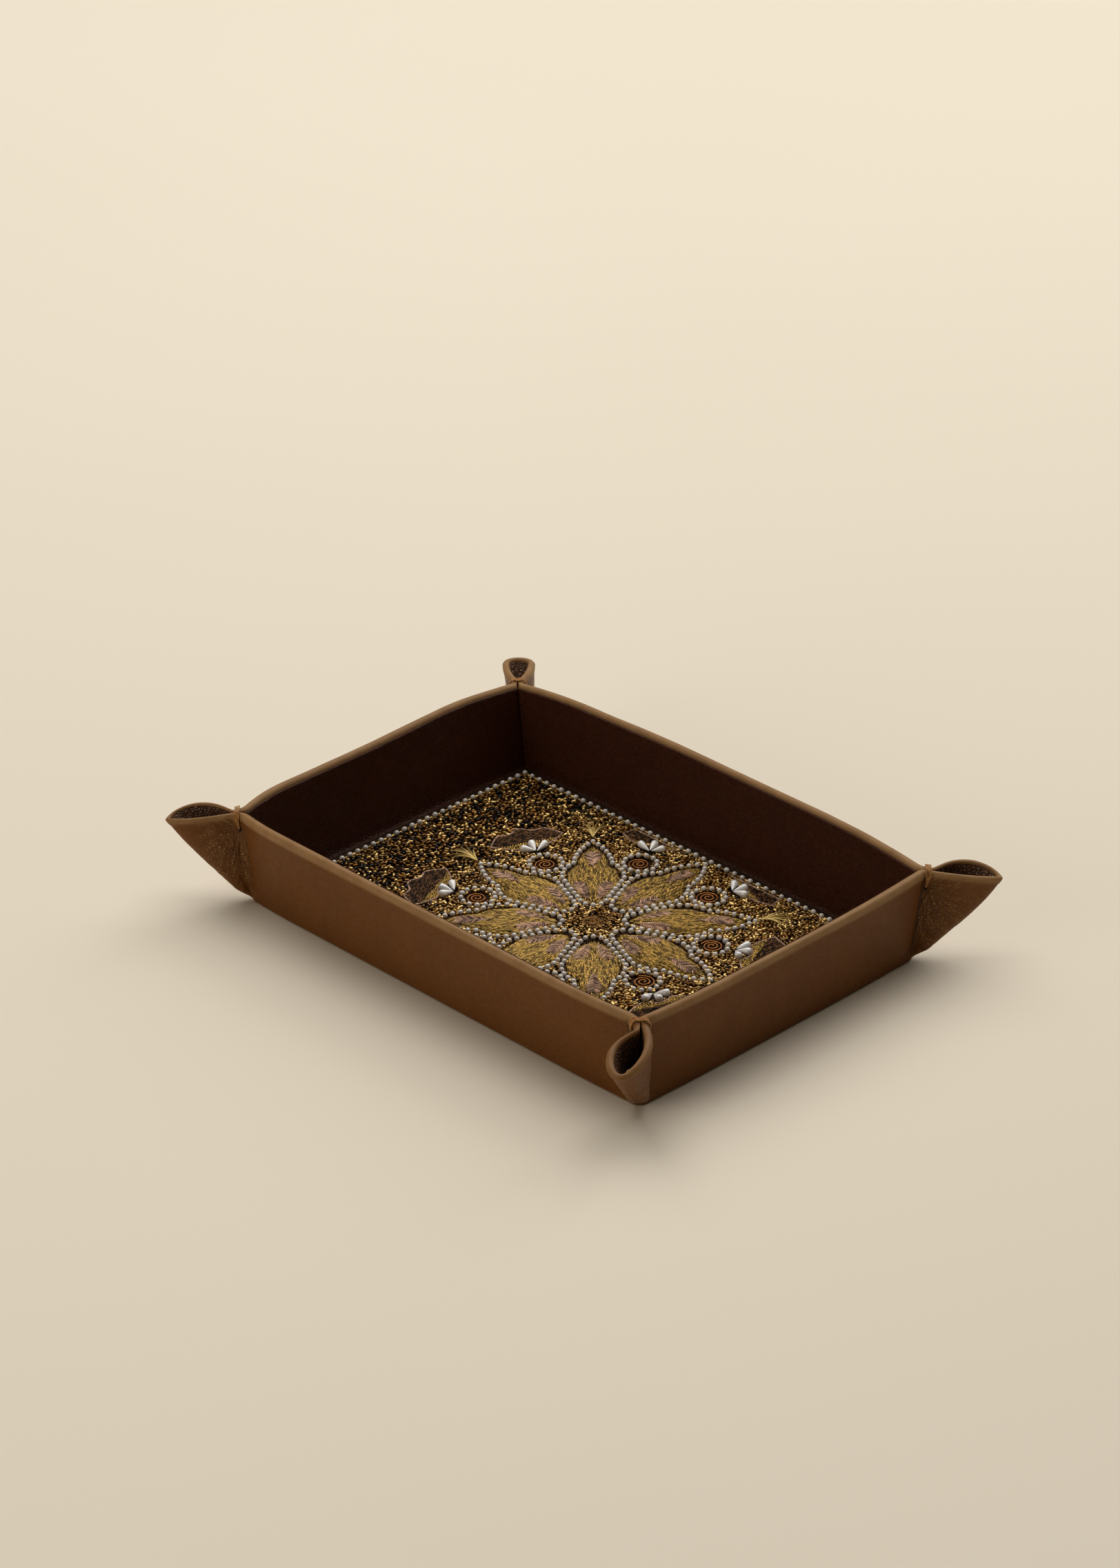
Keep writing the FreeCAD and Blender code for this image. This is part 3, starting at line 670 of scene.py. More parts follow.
# %% [markdown]
# The thread holds the walls in at the corners only. Between them the rims stand further out and a
# little higher, the foot of each wall less so, and the far corner has been pulled aside. Every layer of
# a wall goes through one function that makes these moves, so the layers stay together.

# %% Let the walls lean out between the corners
FLARE = 4.2 * MM
FOOT_FLARE = 0.9 * MM
RISE = 1.4 * MM
SHOULDERS = np.array(((25, 42), (40, 60))) * MM
WALL_ZONE = 6 * MM
FAR_PULL = np.array((-2.1, -2.1)) * MM
FAR_FADE = 60 * MM


def flared(points):
    """Points of a wall, moved out and up where no thread holds it in, and aside at the far corner."""
    lift = np.clip(points[:, 2:] / rim_top, 0, 1)
    corner = np.array((base_half_length, base_half_width)) + points[:, 2:] * lean_out
    inside = corner - np.abs(points[:, :2])
    shoulder = SHOULDERS[(points[:, 0] > 0).astype(int), (points[:, 1] > 0).astype(int)][:, None]
    bow = 1 - (1 - np.clip(inside / shoulder, 0, 1)) ** 2
    free = bow[:, ::-1] * (1 - eased(inside / WALL_ZONE - 1))
    away = np.linalg.norm(points[:, :2] - corner * (-1, 1), axis=1)[:, None]
    pull = 1 - eased((away - EAR_REACH) / FAR_FADE)
    out = (FOOT_FLARE + (FLARE - FOOT_FLARE) * lift) * free * np.sign(points[:, :2])
    moved = points.copy()
    moved[:, :2] += out + FAR_PULL * lift * pull
    moved[:, 2] += RISE * lift[:, 0] ** 2 * free.max(axis=1)
    return moved


middle_of_front = flared(np.array([[0.0, -base_half_width - rim_top * lean_out, rim_top]]))[0]
print("rim at the middle of the front: y %.1f, z %.1f mm" % tuple(1000 * middle_of_front[1:]))

# %% [markdown]
# Leather that is pulled together by a thread puckers: creases run away from the hole and fade towards
# the lip and the fold below. The puckers are pushed into the mesh itself along its normals, so that
# they show from any side. The same loop stores where the puckers are, and for each point its angle
# about the hole and its distance from it, which the finish needs for the painted shade in its folds.

# %% Pucker the ears
HOLE_DEPTH = 6.4 * MM
HOLE_OUT = -0.7 * MM
PUCKER_DEPTH = 0.4 * MM
PUCKER_REACH = 13 * MM
PUCKER_LIP = 3 * MM
PUCKER_FOOT = 8 * MM
DOWN_SHARE, UP_SHARE = 0.45, 1.3
CALM_HALF = 2.4 * MM
CALM_RUN = 2 * MM
CREASE_TURNS = 4.5
CREASE_RUN = 7 * MM
CREASE_LEVEL = 0.45
FINE_SIZE = 1.1 * MM
FINE_SHARE = 0.35
DIMPLE_DEPTH = 0.5 * MM
DIMPLE_REACH = 1.3 * MM
SPOKES = 4.0
SPOKE_RUN = 9 * MM


def side_of_ear(index, side, chosen=True):
    """Columns of the sheet on one side of an ear."""
    return np.where((ear_number == index) & (station_side == side) & chosen)[0]


along = np.roll(sheet, -1, axis=1) - np.roll(sheet, 1, axis=1)
normal = np.cross(along, np.gradient(sheet, axis=0))
normal /= np.maximum(np.linalg.norm(normal, axis=2), 1e-12)[:, :, None]
pucker, push, spoke, spoke_run, shade, worn = np.zeros((6,) + sheet.shape[:2])
below_lip = rim_top - ear_drop * tray_outline(1)[1] * ear_weight - sheet[:, :, 2]
for index, ear in enumerate(EARS):
    place, outward, aside = corner_frame(ear, rim_top - HOLE_DEPTH)
    for side in (-1, 1):
        part = np.ix_(range(outer_rows), side_of_ear(index, side, ear_weight > 0.2))
        block = sheet[part]
        out = (block[:, :, :2] - place) @ outward - HOLE_OUT
        down = rim_top - HOLE_DEPTH - block[:, :, 2]
        run = np.hypot(out, down)
        turn = np.arctan2(down, out)
        reach = np.hypot(out, np.where(down > 0, DOWN_SHARE * down, UP_SHARE * down))
        mask = np.exp(-(reach / PUCKER_REACH) ** 2) * eased(below_lip[part] / PUCKER_LIP)
        mask *= eased(block[:, :, 2] / PUCKER_FOOT)
        mask *= 1 - np.exp(-(out / CALM_HALF) ** 2) * eased(1 - down / CALM_RUN)
        layer = np.full(turn.shape, 9.1 * index + side)
        spots = np.stack([turn * CREASE_TURNS, run / CREASE_RUN, layer], axis=2)
        creases = 1 - 2 * np.abs(smooth_noise(spots, 1.0, 3)) - CREASE_LEVEL
        fine = FINE_SHARE * smooth_noise(block / FINE_SIZE, 1.0, 5)
        dimple = np.exp(-(out ** 2 + down ** 2) / DIMPLE_REACH ** 2)
        pucker[part] = np.maximum(mask, dimple)
        spoke[part] = SPOKES * (turn + 5 * index + 9 * side)
        spoke_run[part] = run / SPOKE_RUN
        push[part] = PUCKER_DEPTH * mask * (creases + fine) - DIMPLE_DEPTH * dimple
print("deepest pucker %.2f mm" % (-1000 * push.min()))

# %% [markdown]
# Below the rim the turned edge shows as a low ridge. The walls get a slight unevenness, because no
# board is quite flat, and over the round of the rim all this fades, so that the hem stays over the
# board. Two more values are stored for the finish: the shade in the creases beside the necks, and where
# the rim is worn.

# %% Ridge, unevenness, shade and wear
LIP_RIDGE = 0.32 * MM
RIM_RIDGE_SHARE = 0.7
RIDGE_DEPTH, EAR_RIDGE_DEPTH = 3.0 * MM, 2.0 * MM
RIDGE_FADE = 1.5 * MM
WORN_DEPTH, EAR_WORN_DEPTH = 1.6 * MM, 0.8 * MM
WORN_FADE = 2.0 * MM
WALL_SWELL = 0.28 * MM
SWELL_FOOT = 10 * MM
HEM_PUSH = 0.2
TIGHT_CREASE = 0.9
CREASE_SHADE = 0.7 * MM
SHADE_LIP = 4 * MM
SHADE_FOOT = 9 * MM

ridge = 1 - eased((below_lip - on_ears(RIDGE_DEPTH, EAR_RIDGE_DEPTH)) / RIDGE_FADE)
push[:outer_rows] += (LIP_RIDGE * ridge * np.maximum(ear_weight, RIM_RIDGE_SHARE))[:outer_rows]
swell = smooth_noise(sheet, 45 * MM, 1) + 0.4 * smooth_noise(sheet, 14 * MM, 2)
push += WALL_SWELL * swell * eased(sheet[:, :, 2] / SWELL_FOOT)
hem_share = np.interp(np.arange(len(sheet)), (outer_rows, outer_rows + RIM_ROWS - 1), (1.0, HEM_PUSH))
push *= hem_share[:, None]
sheet += normal * push[:, :, None]
for index, shape in enumerate(EARS.values()):
    for side in (-1, 1):
        tightness = min(1.0, TIGHT_CREASE / shape["creases"][(side + 1) // 2])
        line = side_of_ear(index, side, np.abs(ear_weight - 0.5) < 0.2)
        columns = side_of_ear(index, side)
        centre = sheet[:outer_rows, line].mean(axis=1)[:, None, :]
        away = np.linalg.norm(sheet[:outer_rows, columns] - centre, axis=2)
        shade[:outer_rows, columns] = tightness * np.exp(-(away / CREASE_SHADE) ** 2)
fade = eased(below_lip[:outer_rows] / SHADE_LIP) * eased(sheet[:outer_rows, :, 2] / SHADE_FOOT)
shade[:outer_rows] *= fade
worn[outer_rows:] = 1.0
worn[:outer_rows] = 1 - eased((below_lip[:outer_rows] - on_ears(WORN_DEPTH, EAR_WORN_DEPTH)) / WORN_FADE)
worn *= on_ears(1, ear_value("rub", 1.0, 1.0))
print("deepest push %.2f mm" % (1000 * np.abs(push).max()))

# %% [markdown]
# Smooth leather has a fine grain of flat cells with narrow valleys between them. A cell texture gives
# the grain, a slower noise shifts the colour and the gloss, and the values stored on the mesh deepen
# the grain in the puckers and lighten the rubbed rim. The tops of the pebbles in the puckers get a
# painted highlight, and the creases beside the necks get painted shade. In the puckers fine folds run
# away from the hole, painted as shade in their valleys: a noise that is drawn out along the spokes
# gives them, because its coordinates are the angle about the hole and the distance from it.

# %% Finish of the outer leather
PEBBLE_SIZE = 1.2 * MM
PEBBLE_DEPTH = 0.4 * MM
DEEP_SHADE = screen(28, 14, 5)


def leather_finish(
        name, dark, light, rubbed_and_highlight, grain_size, grain_depth, roughness, specks_and_glints=(0.8, 1.15), folded=False):
    """Leather with cell grain, cloudy colour, deeper grain in the puckers with painted highlights on the
    pebble tops, painted shade in creases and fold valleys, and a rubbed edge.
    """
    leather = Finish(name, {"Specular IOR Level": 0.2})
    reckon, mapped, mixed = leather.reckon, leather.mapped, leather.mixed
    pucker = leather.value("pucker")
    cloud = mixed(leather.noise(18 * MM, 4.0), dark, light)
    # Fine specks of colour: the grain of the leather, and with the lining's wider range also painted
    # glints.
    speck_and_glint = mapped(leather.noise(0.7 * MM, 2.0), 0.3, 0.7, *specks_and_glints)
    wear = mapped(leather.noise(6 * MM), 0.3, 0.7, 0.65, 1.0)
    edge = reckon("MULTIPLY", leather.value("worn"), wear)
    worn_colour = mixed(edge, mixed(1.0, cloud, speck_and_glint, "MULTIPLY"), rubbed_and_highlight)
    pebbles = reckon("MULTIPLY", pucker, mapped(leather.cells(PEBBLE_SIZE), 0.0, 0.28))
    shaded = reckon("MULTIPLY", leather.value("shade"), 0.75)
    # Painted shade in the valleys of the folds, which also lose the highlight on their pebbles; these folds
    # have no bump.
    if folded:
        inputs = {"X": leather.value("spoke"), "Y": leather.value("spoke_run")}
        spokes = leather.node("CombineXYZ", inputs).outputs[0]
        folds = leather.node("TexNoise", {"Vector": spokes, "Scale": 1.0, "Detail": 2.0}).outputs["Fac"]
        valley = mapped(reckon("PINGPONG", folds, 0.5), 0.39, 0.5)
        pebbles = reckon("MULTIPLY", pebbles, reckon("SUBTRACT", 1.0, valley))
        fold_shade = reckon("MULTIPLY", valley, pucker)
        shaded = reckon("MAXIMUM", shaded, reckon("MULTIPLY", fold_shade, 0.3))
    # The tops of the pebbles get a painted highlight in the third colour, the one of the rubbed rim.
    highlit_colour = mixed(reckon("MULTIPLY", pebbles, 0.95), worn_colour, rubbed_and_highlight)
    leather.feed("Base Color", mixed(shaded, highlit_colour, DEEP_SHADE))
    gloss = mapped(leather.noise(3 * MM), 0.3, 0.7, roughness - 0.06, roughness + 0.08)
    leather.feed("Roughness", reckon("SUBTRACT", gloss, reckon("MULTIPLY", pucker, 0.18)))
    grain = leather.raised(mapped(leather.cells(grain_size), 0.0, 0.35), grain_depth)
    leather.feed("Normal", leather.raised(pebbles, PEBBLE_DEPTH, Normal=grain))
    return leather


# The third colour is that of the rubbed rim, and also the painted highlight on the pebble tops.
cover_leather = leather_finish(
    "brown_leather", screen(98, 55, 10), screen(113, 68, 15), screen(156, 120, 78),
    0.5 * MM, 0.03 * MM, 0.5, folded=True)
wall_names = ("front", "back", "left", "right")
cover_faces = [grid_faces(len(sheet), stations, True), np.arange(stations)[::-1][None, :]]
mesh_piece(
    "outer_leather", (flared(sheet.reshape(-1, 3)), cover_faces), cover_leather, "cover_leather",
    [wall + "_cover" for wall in wall_names] + ["base_cover"] + ["ear_" + ear for ear in EARS],
    pucker=pucker, worn=worn, shade=shade, spoke=spoke, spoke_run=spoke_run)

# %% [markdown]
# ## Linings
# A darker and finer leather covers the inside. On the walls it is a separate sheet glued below the rim,
# with its own rounded edge, and it curves in to the floor at the bottom. In the ears it shows as a
# pebbled pocket below the lip. Each lining is drawn a fixed depth inside the outer leather, so that
# both follow the same walls.

# %% Wall linings
LINING_DEPTH = 4.2 * MM
LINING_SETBACK = 1.2 * MM
LINING_EDGE = 0.45 * MM
SLIT_HALF = 0.05 * MM
FOOT_BEND = 1.4 * MM
LINING_STEPS = 90
LINING_ROWS = 26
TUCK_SHARE = 0.015
LINING_SWELL = 0.12 * MM

floor_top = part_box("base_lining")[1].z
# The lining's wide speck range paints glints on its grain, and its third colour is the painted highlight on
# its pebble tops.
lining_leather = leather_finish(
    "dark_lining", screen(55, 22, 4), screen(72, 32, 7), screen(70, 36, 16),
    0.6 * MM, 0.14 * MM, 0.4, (0.45, 1.6))


def lining_section():
    """Depth from the outer face and height of a wall lining, from behind its top edge to its foot."""
    top = rim_top - LINING_SETBACK
    turn = np.linspace(0, np.pi / 2, 5)
    short_of_side, short_of_top = 1 - np.sin(turn), 1 - np.cos(turn)
    heights = np.linspace(top - 2 * LINING_EDGE, floor_top + FOOT_BEND, LINING_ROWS)
    depth = np.concatenate([
        [LINING_DEPTH - 1.2 * LINING_EDGE], LINING_DEPTH - LINING_EDGE * short_of_side,
        np.full(LINING_ROWS, LINING_DEPTH), LINING_DEPTH + FOOT_BEND * short_of_top[1:]])
    height = np.concatenate([
        [top - LINING_EDGE], top - LINING_EDGE * short_of_top, heights,
        floor_top + FOOT_BEND * short_of_side[1:]])
    return depth, height


def facing_wall(points, facing):
    """Points of a wall that faces +X, turned by quarter turns and flared."""
    c, s = math.cos(facing * np.pi / 2), math.sin(facing * np.pi / 2)
    return flared(points @ np.array([[c, -s, 0], [s, c, 0], [0, 0, 1]]).T)


def wall_lining(out, side, facing):
    """Lining of one wall, made for a wall that faces +X and then turned."""
    depth, height = lining_section()
    spread = height * lean_out
    share = np.sin(np.linspace(-1, 1, LINING_STEPS) * np.pi / 2)
    near_end = np.clip((np.abs(share) - 1 + TUCK_SHARE) / TUCK_SHARE, 0, 1)
    tuck = LINING_EDGE * (1 - np.sqrt(1 - near_end ** 2))
    x = (out + spread - depth)[:, None] + tuck
    y = (side + spread - depth - SLIT_HALF)[:, None] * share + tuck * np.sign(share)
    points = np.stack([x, y, np.broadcast_to(height[:, None], x.shape)], axis=2).reshape(-1, 3)
    points[:, 0] += LINING_SWELL * smooth_noise(points, 12 * MM, 4 + facing)
    return facing_wall(points, facing), [grid_faces(len(height), LINING_STEPS)]


half_sizes = (base_half_length, base_half_width)
wall_places = [(half_sizes[facing % 2], half_sizes[1 - facing % 2], facing) for facing in range(4)]
linings = joined([wall_lining(*place) for place in wall_places])
# Near the floor the lining's pebbles grow, and their tops get the painted highlight.
near_floor = np.exp(-(linings[0][:, 2] - floor_top) / (5 * MM))
mesh_piece(
    "wall_lining", linings, lining_leather, "lining_leather", [wall + "_lining" for wall in wall_names],
    pucker=0.5 * near_floor)

# %% Ear pockets and the floor lining
POCKET_GAP = 0.15 * MM
POCKET_DEPTHS = np.array((0.0, 0.3, 0.8, 1.6, 2.6, 4.0, 5.5, 7.5, 10, 13, 17, 22, 27)) * MM
POCKET_PRESSED = 0.97
FLOOR_TUCK = 2 * MM
FLOOR_STEPS = (60, 44)
FLOOR_SINK = 0.1 * MM

# The pocket's browns are lifted as painted light, so that its deep inside does not go black, and its third
# colour is a painted highlight on the tops of its pebbles, which cover the whole pocket.
pocket_leather = leather_finish(
    "ear_pocket", screen(58, 36, 23), screen(84, 55, 37), screen(150, 112, 84), 0.8 * MM, 0.2 * MM, 0.38)
pocket_rows = []
for depth in POCKET_DEPTHS:
    inset = thickness + POCKET_GAP * min(1.0, depth / MM)
    level = 1 - depth / rim_top
    pocket_rows.append(sheet_row(level, inset, wall_height(level), POCKET_PRESSED))
pocket_rows = np.array(pocket_rows)
pockets = []
for index in range(len(EARS)):
    columns = np.where((ear_number == index) & (ear_weight > 0.6))[0]
    points = flared(pocket_rows[:, columns].reshape(-1, 3))
    pockets.append((points, [grid_faces(len(POCKET_DEPTHS), len(columns))]))
mesh_piece(
    "ear_pockets", joined(pockets), pocket_leather, "lining_leather", ["ear_lining_" + ear for ear in EARS],
    pucker=1.0)

low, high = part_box("base_lining")
floor_x, floor_y = np.meshgrid(
    np.linspace(low.x - FLOOR_TUCK, high.x + FLOOR_TUCK, FLOOR_STEPS[0]),
    np.linspace(low.y - FLOOR_TUCK, high.y + FLOOR_TUCK, FLOOR_STEPS[1]))
floor_points = np.column_stack([floor_x.ravel(), floor_y.ravel(), np.full(floor_x.size, high.z)])
floor_points[:, 2] -= FLOOR_SINK * np.abs(smooth_noise(floor_points, 10 * MM, 11))
# The floor lining's pebble tops get the painted highlight at half strength.
mesh_piece(
    "floor_lining", (floor_points, [grid_faces(*FLOOR_STEPS[::-1])]), lining_leather, "lining_leather",
    ["base_lining"], pucker=0.5)

# %% [markdown]
# ## Corner stitches
# Waxed thread holds each pinch. A few strands fan out over the two lips and go back into one hole on
# each side. Each strand is two plies wound round each other, so each ply is a tube whose path circles
# the strand's own path.

# %% Sew the corners
STRANDS = 4
STRAND_PITCH = 0.62 * MM
STRAND_START = -1.3 * MM
STRAND_STEPS = 70
STRAND_RISE = 0.6 * MM
PLY = 0.17 * MM
PLY_TURN = 1.3 * MM
PLY_UPRIGHT = (0.3, 0.2, 1.0)
HOLE_SIZE = 0.7 * MM
HOLE_SINK = 0.4 * MM
HANDS = ((-1, 0), (1, 1))
# Stops of a strand on one side: mm off the leather, mm over the rim, and share of the way out from the
# hole
STRAND_STOPS = ((-0.3, -6.4, 0), (0.5, -5.6, 0.1), (0.8, -3.0, 0.5), (0.8, -1.4, 1), (-0.2, 0.6, 1))

thread_finish = Finish("waxed_thread", {"Roughness": 0.5, "Sheen Weight": 0.2})
thread_finish.clouded(1.2 * MM, 0.35, screen(150, 96, 36), 0.65, screen(206, 148, 68))
# Each stitch hole is a small dark blob sunk into the leather: painted shade for the inside of the hole.
hole_shade_finish = Finish("hole_shade", {"Roughness": 0.9})
hole_shade_finish.clouded(0.5 * MM, 0.3, screen(16, 9, 5), 0.7, screen(30, 17, 9))


def beside_neck(ear, hand, after, height, out, off):
    """Place beside the neck of an ear at a height, out along the corner and off the leather."""
    half = ear_half(EARS[ear], after, min(1.0, height / rim_top))
    wide = np.interp(out, half[:, 0], half[:, 1]) + off
    place, outward, aside = corner_frame(ear, min(height, rim_top))
    return place + out * outward + hand * wide * aside


def smooth_path(points, count):
    """Points along a smooth curve that passes near each given point."""
    points = np.array(points, float)
    padded = np.vstack([2 * points[0] - points[1], points, 2 * points[-1] - points[-2]])
    spot = np.linspace(0, len(points) - 1 - 1e-9, count)
    index = spot.astype(int)
    t = (spot - index)[:, None]
    p0, p1, p2, p3 = (padded[index + shift] for shift in range(4))
    return 0.5 * (2 * p1 + (p2 - p0) * t + (2 * p0 - 5 * p1 + 4 * p2 - p3) * t ** 2
                  + (3 * p1 - p0 - 3 * p2 + p3) * t ** 3)


def strand_path(ear, number):
    """Path of one strand from the hole on one side of the neck, over both lips, to the other hole."""
    top_out = STRAND_START + number * STRAND_PITCH
    sides = []
    for hand, after in HANDS:
        stops = []
        for off, over, share in STRAND_STOPS:
            height = rim_top + over * MM
            out = HOLE_OUT + (top_out - HOLE_OUT) * share
            stops.append((*beside_neck(ear, hand, after, height, out, off * MM), height))
        sides.append(stops)
    place, outward, _ = corner_frame(ear, rim_top)
    top = (*(place + top_out * outward), rim_top + STRAND_RISE)
    return smooth_path(sides[0] + [top] + sides[1][::-1], STRAND_STEPS)


def plies(path):
    """Two tubes that wind round a path."""
    across, above = path_frame(path, PLY_UPRIGHT)
    tubes = []
    for start in (0, np.pi):
        turn = (start + 2 * np.pi * run_along(path) / PLY_TURN)[:, None]
        tubes.append(tube(path + 0.85 * PLY * (np.cos(turn) * across + np.sin(turn) * above), PLY, 6))
    return tubes


hole_height = rim_top - HOLE_DEPTH
strands, holes = [], []
for ear in EARS:
    for number in range(STRANDS):
        strands += plies(strand_path(ear, number))
    for hand, after in HANDS:
        spot = beside_neck(ear, hand, after, hole_height, HOLE_OUT, -HOLE_SINK)
        holes.append((*spot, hole_height - HOLE_SIZE))
strand_points, strand_faces = joined(strands)
mesh_piece(
    "corner_stitches", (flared(strand_points), strand_faces), thread_finish, "sewing_thread",
    ["corner_stitch_" + ear for ear in EARS])
hole_form = turned_form([(-1, 0), (-0.8, 0.6), (-0.3, 0.95), (0.3, 0.95), (0.8, 0.6), (1, 0)], 12)
hole_axes = np.repeat(np.eye(3)[None], len(holes), axis=0)
hole_sizes = np.full((len(holes), 3), HOLE_SIZE)
hole_copies = copies(hole_form, flared(np.array(holes)), hole_axes, hole_sizes)
mesh_piece("stitch_hole_shades", hole_copies, hole_shade_finish, "sewing_thread")

# %% [markdown]
# ## The panel's ground cloth
# The embroidery is worked on a dark cloth that is stretched over a loose board and turned down at its
# edges. Its weave is too fine to model, and two crossed wave textures give it.

# %% Stretch the cloth
CLOTH_STEP = 2 * MM
CLOTH_CLEAR = 0.05 * MM
WEAVE = 3.2 * MM
WEAVE_DEPTH = 0.08 * MM

cloth_low, cloth_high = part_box("ground_cloth")
cloth_top = cloth_high.z
cloth_finish = Finish("ground_cloth", {"Roughness": 0.85, "Specular IOR Level": 0.1})
cloth_finish.clouded(4 * MM, 0.35, screen(34, 22, 12), 0.65, screen(52, 34, 18))
weave = []
for direction in ("X", "Y"):
    inputs = {"Vector": cloth_finish.place(), "Scale": 1 / WEAVE}
    weave.append(cloth_finish.node("TexWave", inputs, bands_direction=direction).outputs["Fac"])
cloth_finish.feed("Normal", cloth_finish.raised(cloth_finish.reckon("MAXIMUM", *weave), WEAVE_DEPTH))


def turned_down(low_edge, high_edge):
    """Places across the cloth and how far each is turned down at the two edges."""
    drop = cloth_top - cloth_low.z - CLOTH_CLEAR
    top = np.linspace(low_edge, high_edge, round((high_edge - low_edge) / CLOTH_STEP))
    ends = np.array((drop, 0.4 * drop))
    places = np.concatenate([[low_edge] * 2, top, [high_edge] * 2])
    return places, np.concatenate([ends, 0 * top, ends[::-1]])


cloth_x, drop_x = turned_down(cloth_low.x, cloth_high.x)
cloth_y, drop_y = turned_down(cloth_low.y, cloth_high.y)
spot_x, spot_y = np.meshgrid(cloth_x, cloth_y)
cloth_drop = np.maximum(*np.meshgrid(drop_x, drop_y))
cloth_points = np.column_stack([spot_x.ravel(), spot_y.ravel(), (cloth_top - cloth_drop).ravel()])
cloth = mesh_piece(
    "panel_cloth", (cloth_points, [grid_faces(len(cloth_y), len(cloth_x))]), cloth_finish, "ground_cloth",
    ["ground_cloth"])

# %% [markdown]
# ## Pearls
# Seed pearls outline the petals, ring the wire spirals and edge the panel. Each is a solid of its own
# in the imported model, so the middle of each solid is the place of a finer pearl. A pearl is turned with
# a small dent at each end of its bore, and its bore points at the next pearl, as on a thread. Sizes and
# tints differ a little.

# %% String the pearls
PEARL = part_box("border_pearls")[1].z - cloth_top
BORE_TURN = 0.22
BORE_END = 0.93

pearl_turns = np.linspace(BORE_TURN, np.pi - BORE_TURN, 11)
pearl_side = [(-math.cos(turn), math.sin(turn)) for turn in pearl_turns]
pearl_form = turned_form([(-BORE_END, 0)] + pearl_side + [(BORE_END, 0)], 16)


def pearl_finish(name, cool, warm):
    """Pearl: a pale body under a clear coat, with a little metal in its gloss."""
    pearl = Finish(name, {
        "Metallic": 0.05, "Roughness": 0.26, "Specular IOR Level": 0.6,
        "Coat Weight": 0.7, "Coat Roughness": 0.08})
    tint = pearl.mixed(pearl.value("tint"), cool, warm)
    cloud = pearl.mapped(pearl.noise(0.9 * MM), 0.35, 0.7, 0.0, 0.3)
    pearl.feed("Base Color", pearl.mixed(cloud, tint, warm))
    pearl.feed("Normal", pearl.raised(pearl.noise(0.35 * MM, 2.0), 0.01 * MM))
    return pearl


seed_pearl = pearl_finish("silver_pearl", screen(200, 195, 192), screen(218, 207, 194))


def string_pearls(name, node):
    """Finer pearls in the places of a node's solids."""
    places = np.array([middle_of(points) for points in solids_of(node)])
    count = len(places)
    gaps = np.linalg.norm(places[:, None, :2] - places[None, :, :2], axis=2)
    np.fill_diagonal(gaps, 1.0)
    nearest = places[gaps.argmin(axis=1)] - places
    headings = np.arctan2(nearest[:, 1], nearest[:, 0])
    size = PEARL / 2 * rng.uniform(0.93, 1.03, count)
    sizes = np.column_stack([size * rng.uniform(0.94, 1.06, count), size, size])
    places[:, 2] = cloth_top + size
    pearls = copies(pearl_form, places, level_axes(headings, rng.normal(0, 0.15, count)), sizes)
    mesh_piece(name, pearls, seed_pearl, "pearl", [node], tint=rng.uniform(0, 1, count))
    return places


border_places = string_pearls("border_pearl_row", "border_pearls")
petal_places = string_pearls("petal_pearl_rows", "petal_pearls")
ring_places = string_pearls("pearl_rings", "ring_pearls")

# %% [markdown]
# ## Gold petals
# Each petal is padded and covered with short stitches of metal thread. The padding is a low dome over
# the petal's outline. One stitch is a small arch that dips into the cloth at both ends, and rows of
# copies lie along the petal, a little askew, as hand work is. Three leaves of copper-pink thread lie on
# top, with slanting stitches on both sides of a middle vein. A thin dark tube runs round each petal: it
# is painted shade, for the gap where the gold meets the pearls.

# %% Stitch form and outlines
STITCH_RINGS = 5
STITCH_SIDES = 5
LINE_SIDES = 6
FOOT_SLICE = 0.05 * MM
INSIDE = 0.95

along = np.linspace(-0.5, 0.5, STITCH_RINGS)
arch = np.column_stack([along, 0 * along, 0.9 * np.cos(np.pi * along) - 0.55])
stitch = tube(arch, 0.5 * np.cos(0.8 * np.pi * along) ** 0.5 + 0.05, STITCH_SIDES)
petal_solids = solids_of("gold_petals")
rosette = np.mean([middle_of(points) for points in petal_solids], axis=0)[:2]


def outline_of(points):
    """Outline of a flat solid at its foot, ordered round its middle."""
    foot = points[points[:, 2] < points[:, 2].min() + FOOT_SLICE][:, :2]
    foot = np.unique(np.round(foot, 6), axis=0)
    middle = middle_of(foot)
    turn = np.arctan2(foot[:, 1] - middle[1], foot[:, 0] - middle[0])
    return foot[np.argsort(turn)], middle


def long_axis(points):
    """Middle of a flat solid, its long axis away from the rosette, and half its length and width."""
    middle = middle_of(points)[:2]
    spread = points[:, :2] - middle
    axis = np.linalg.eigh(spread.T @ spread)[1][:, -1]
    axis = axis if axis @ (middle - rosette) > 0 else -axis
    return middle, axis, np.abs(spread @ axis).max(), np.abs(spread @ (-axis[1], axis[0])).max()


def reach_to(outline, middle, spots):
    """How far out each spot lies between the middle, 0, and the outline, 1."""
    edge = outline - middle
    turn = np.arctan2(edge[:, 1], edge[:, 0])
    away = spots - middle
    radius = np.linalg.norm(edge, axis=1)
    radius = np.interp(np.arctan2(away[:, 1], away[:, 0]), turn, radius, period=2 * np.pi)
    return np.linalg.norm(away, axis=1) / radius


def mound(outline, middle, shares, heights):
    """Low mound over an outline: it is drawn in to the middle by shares, and each ring has its height."""
    flat = middle + shares[:, None, None] * (outline - middle)
    raised = np.broadcast_to(heights[:, None, None], flat.shape[:2] + (1,))
    points = np.concatenate([flat, raised], axis=2).reshape(-1, 3)
    return points, [grid_faces(len(shares), len(outline), True)]


def outline_tube(outline, height, radius):
    """Tube that lies round an outline."""
    return tube(np.column_stack([outline, np.full(len(outline), height)]), radius, LINE_SIDES, closed=True)


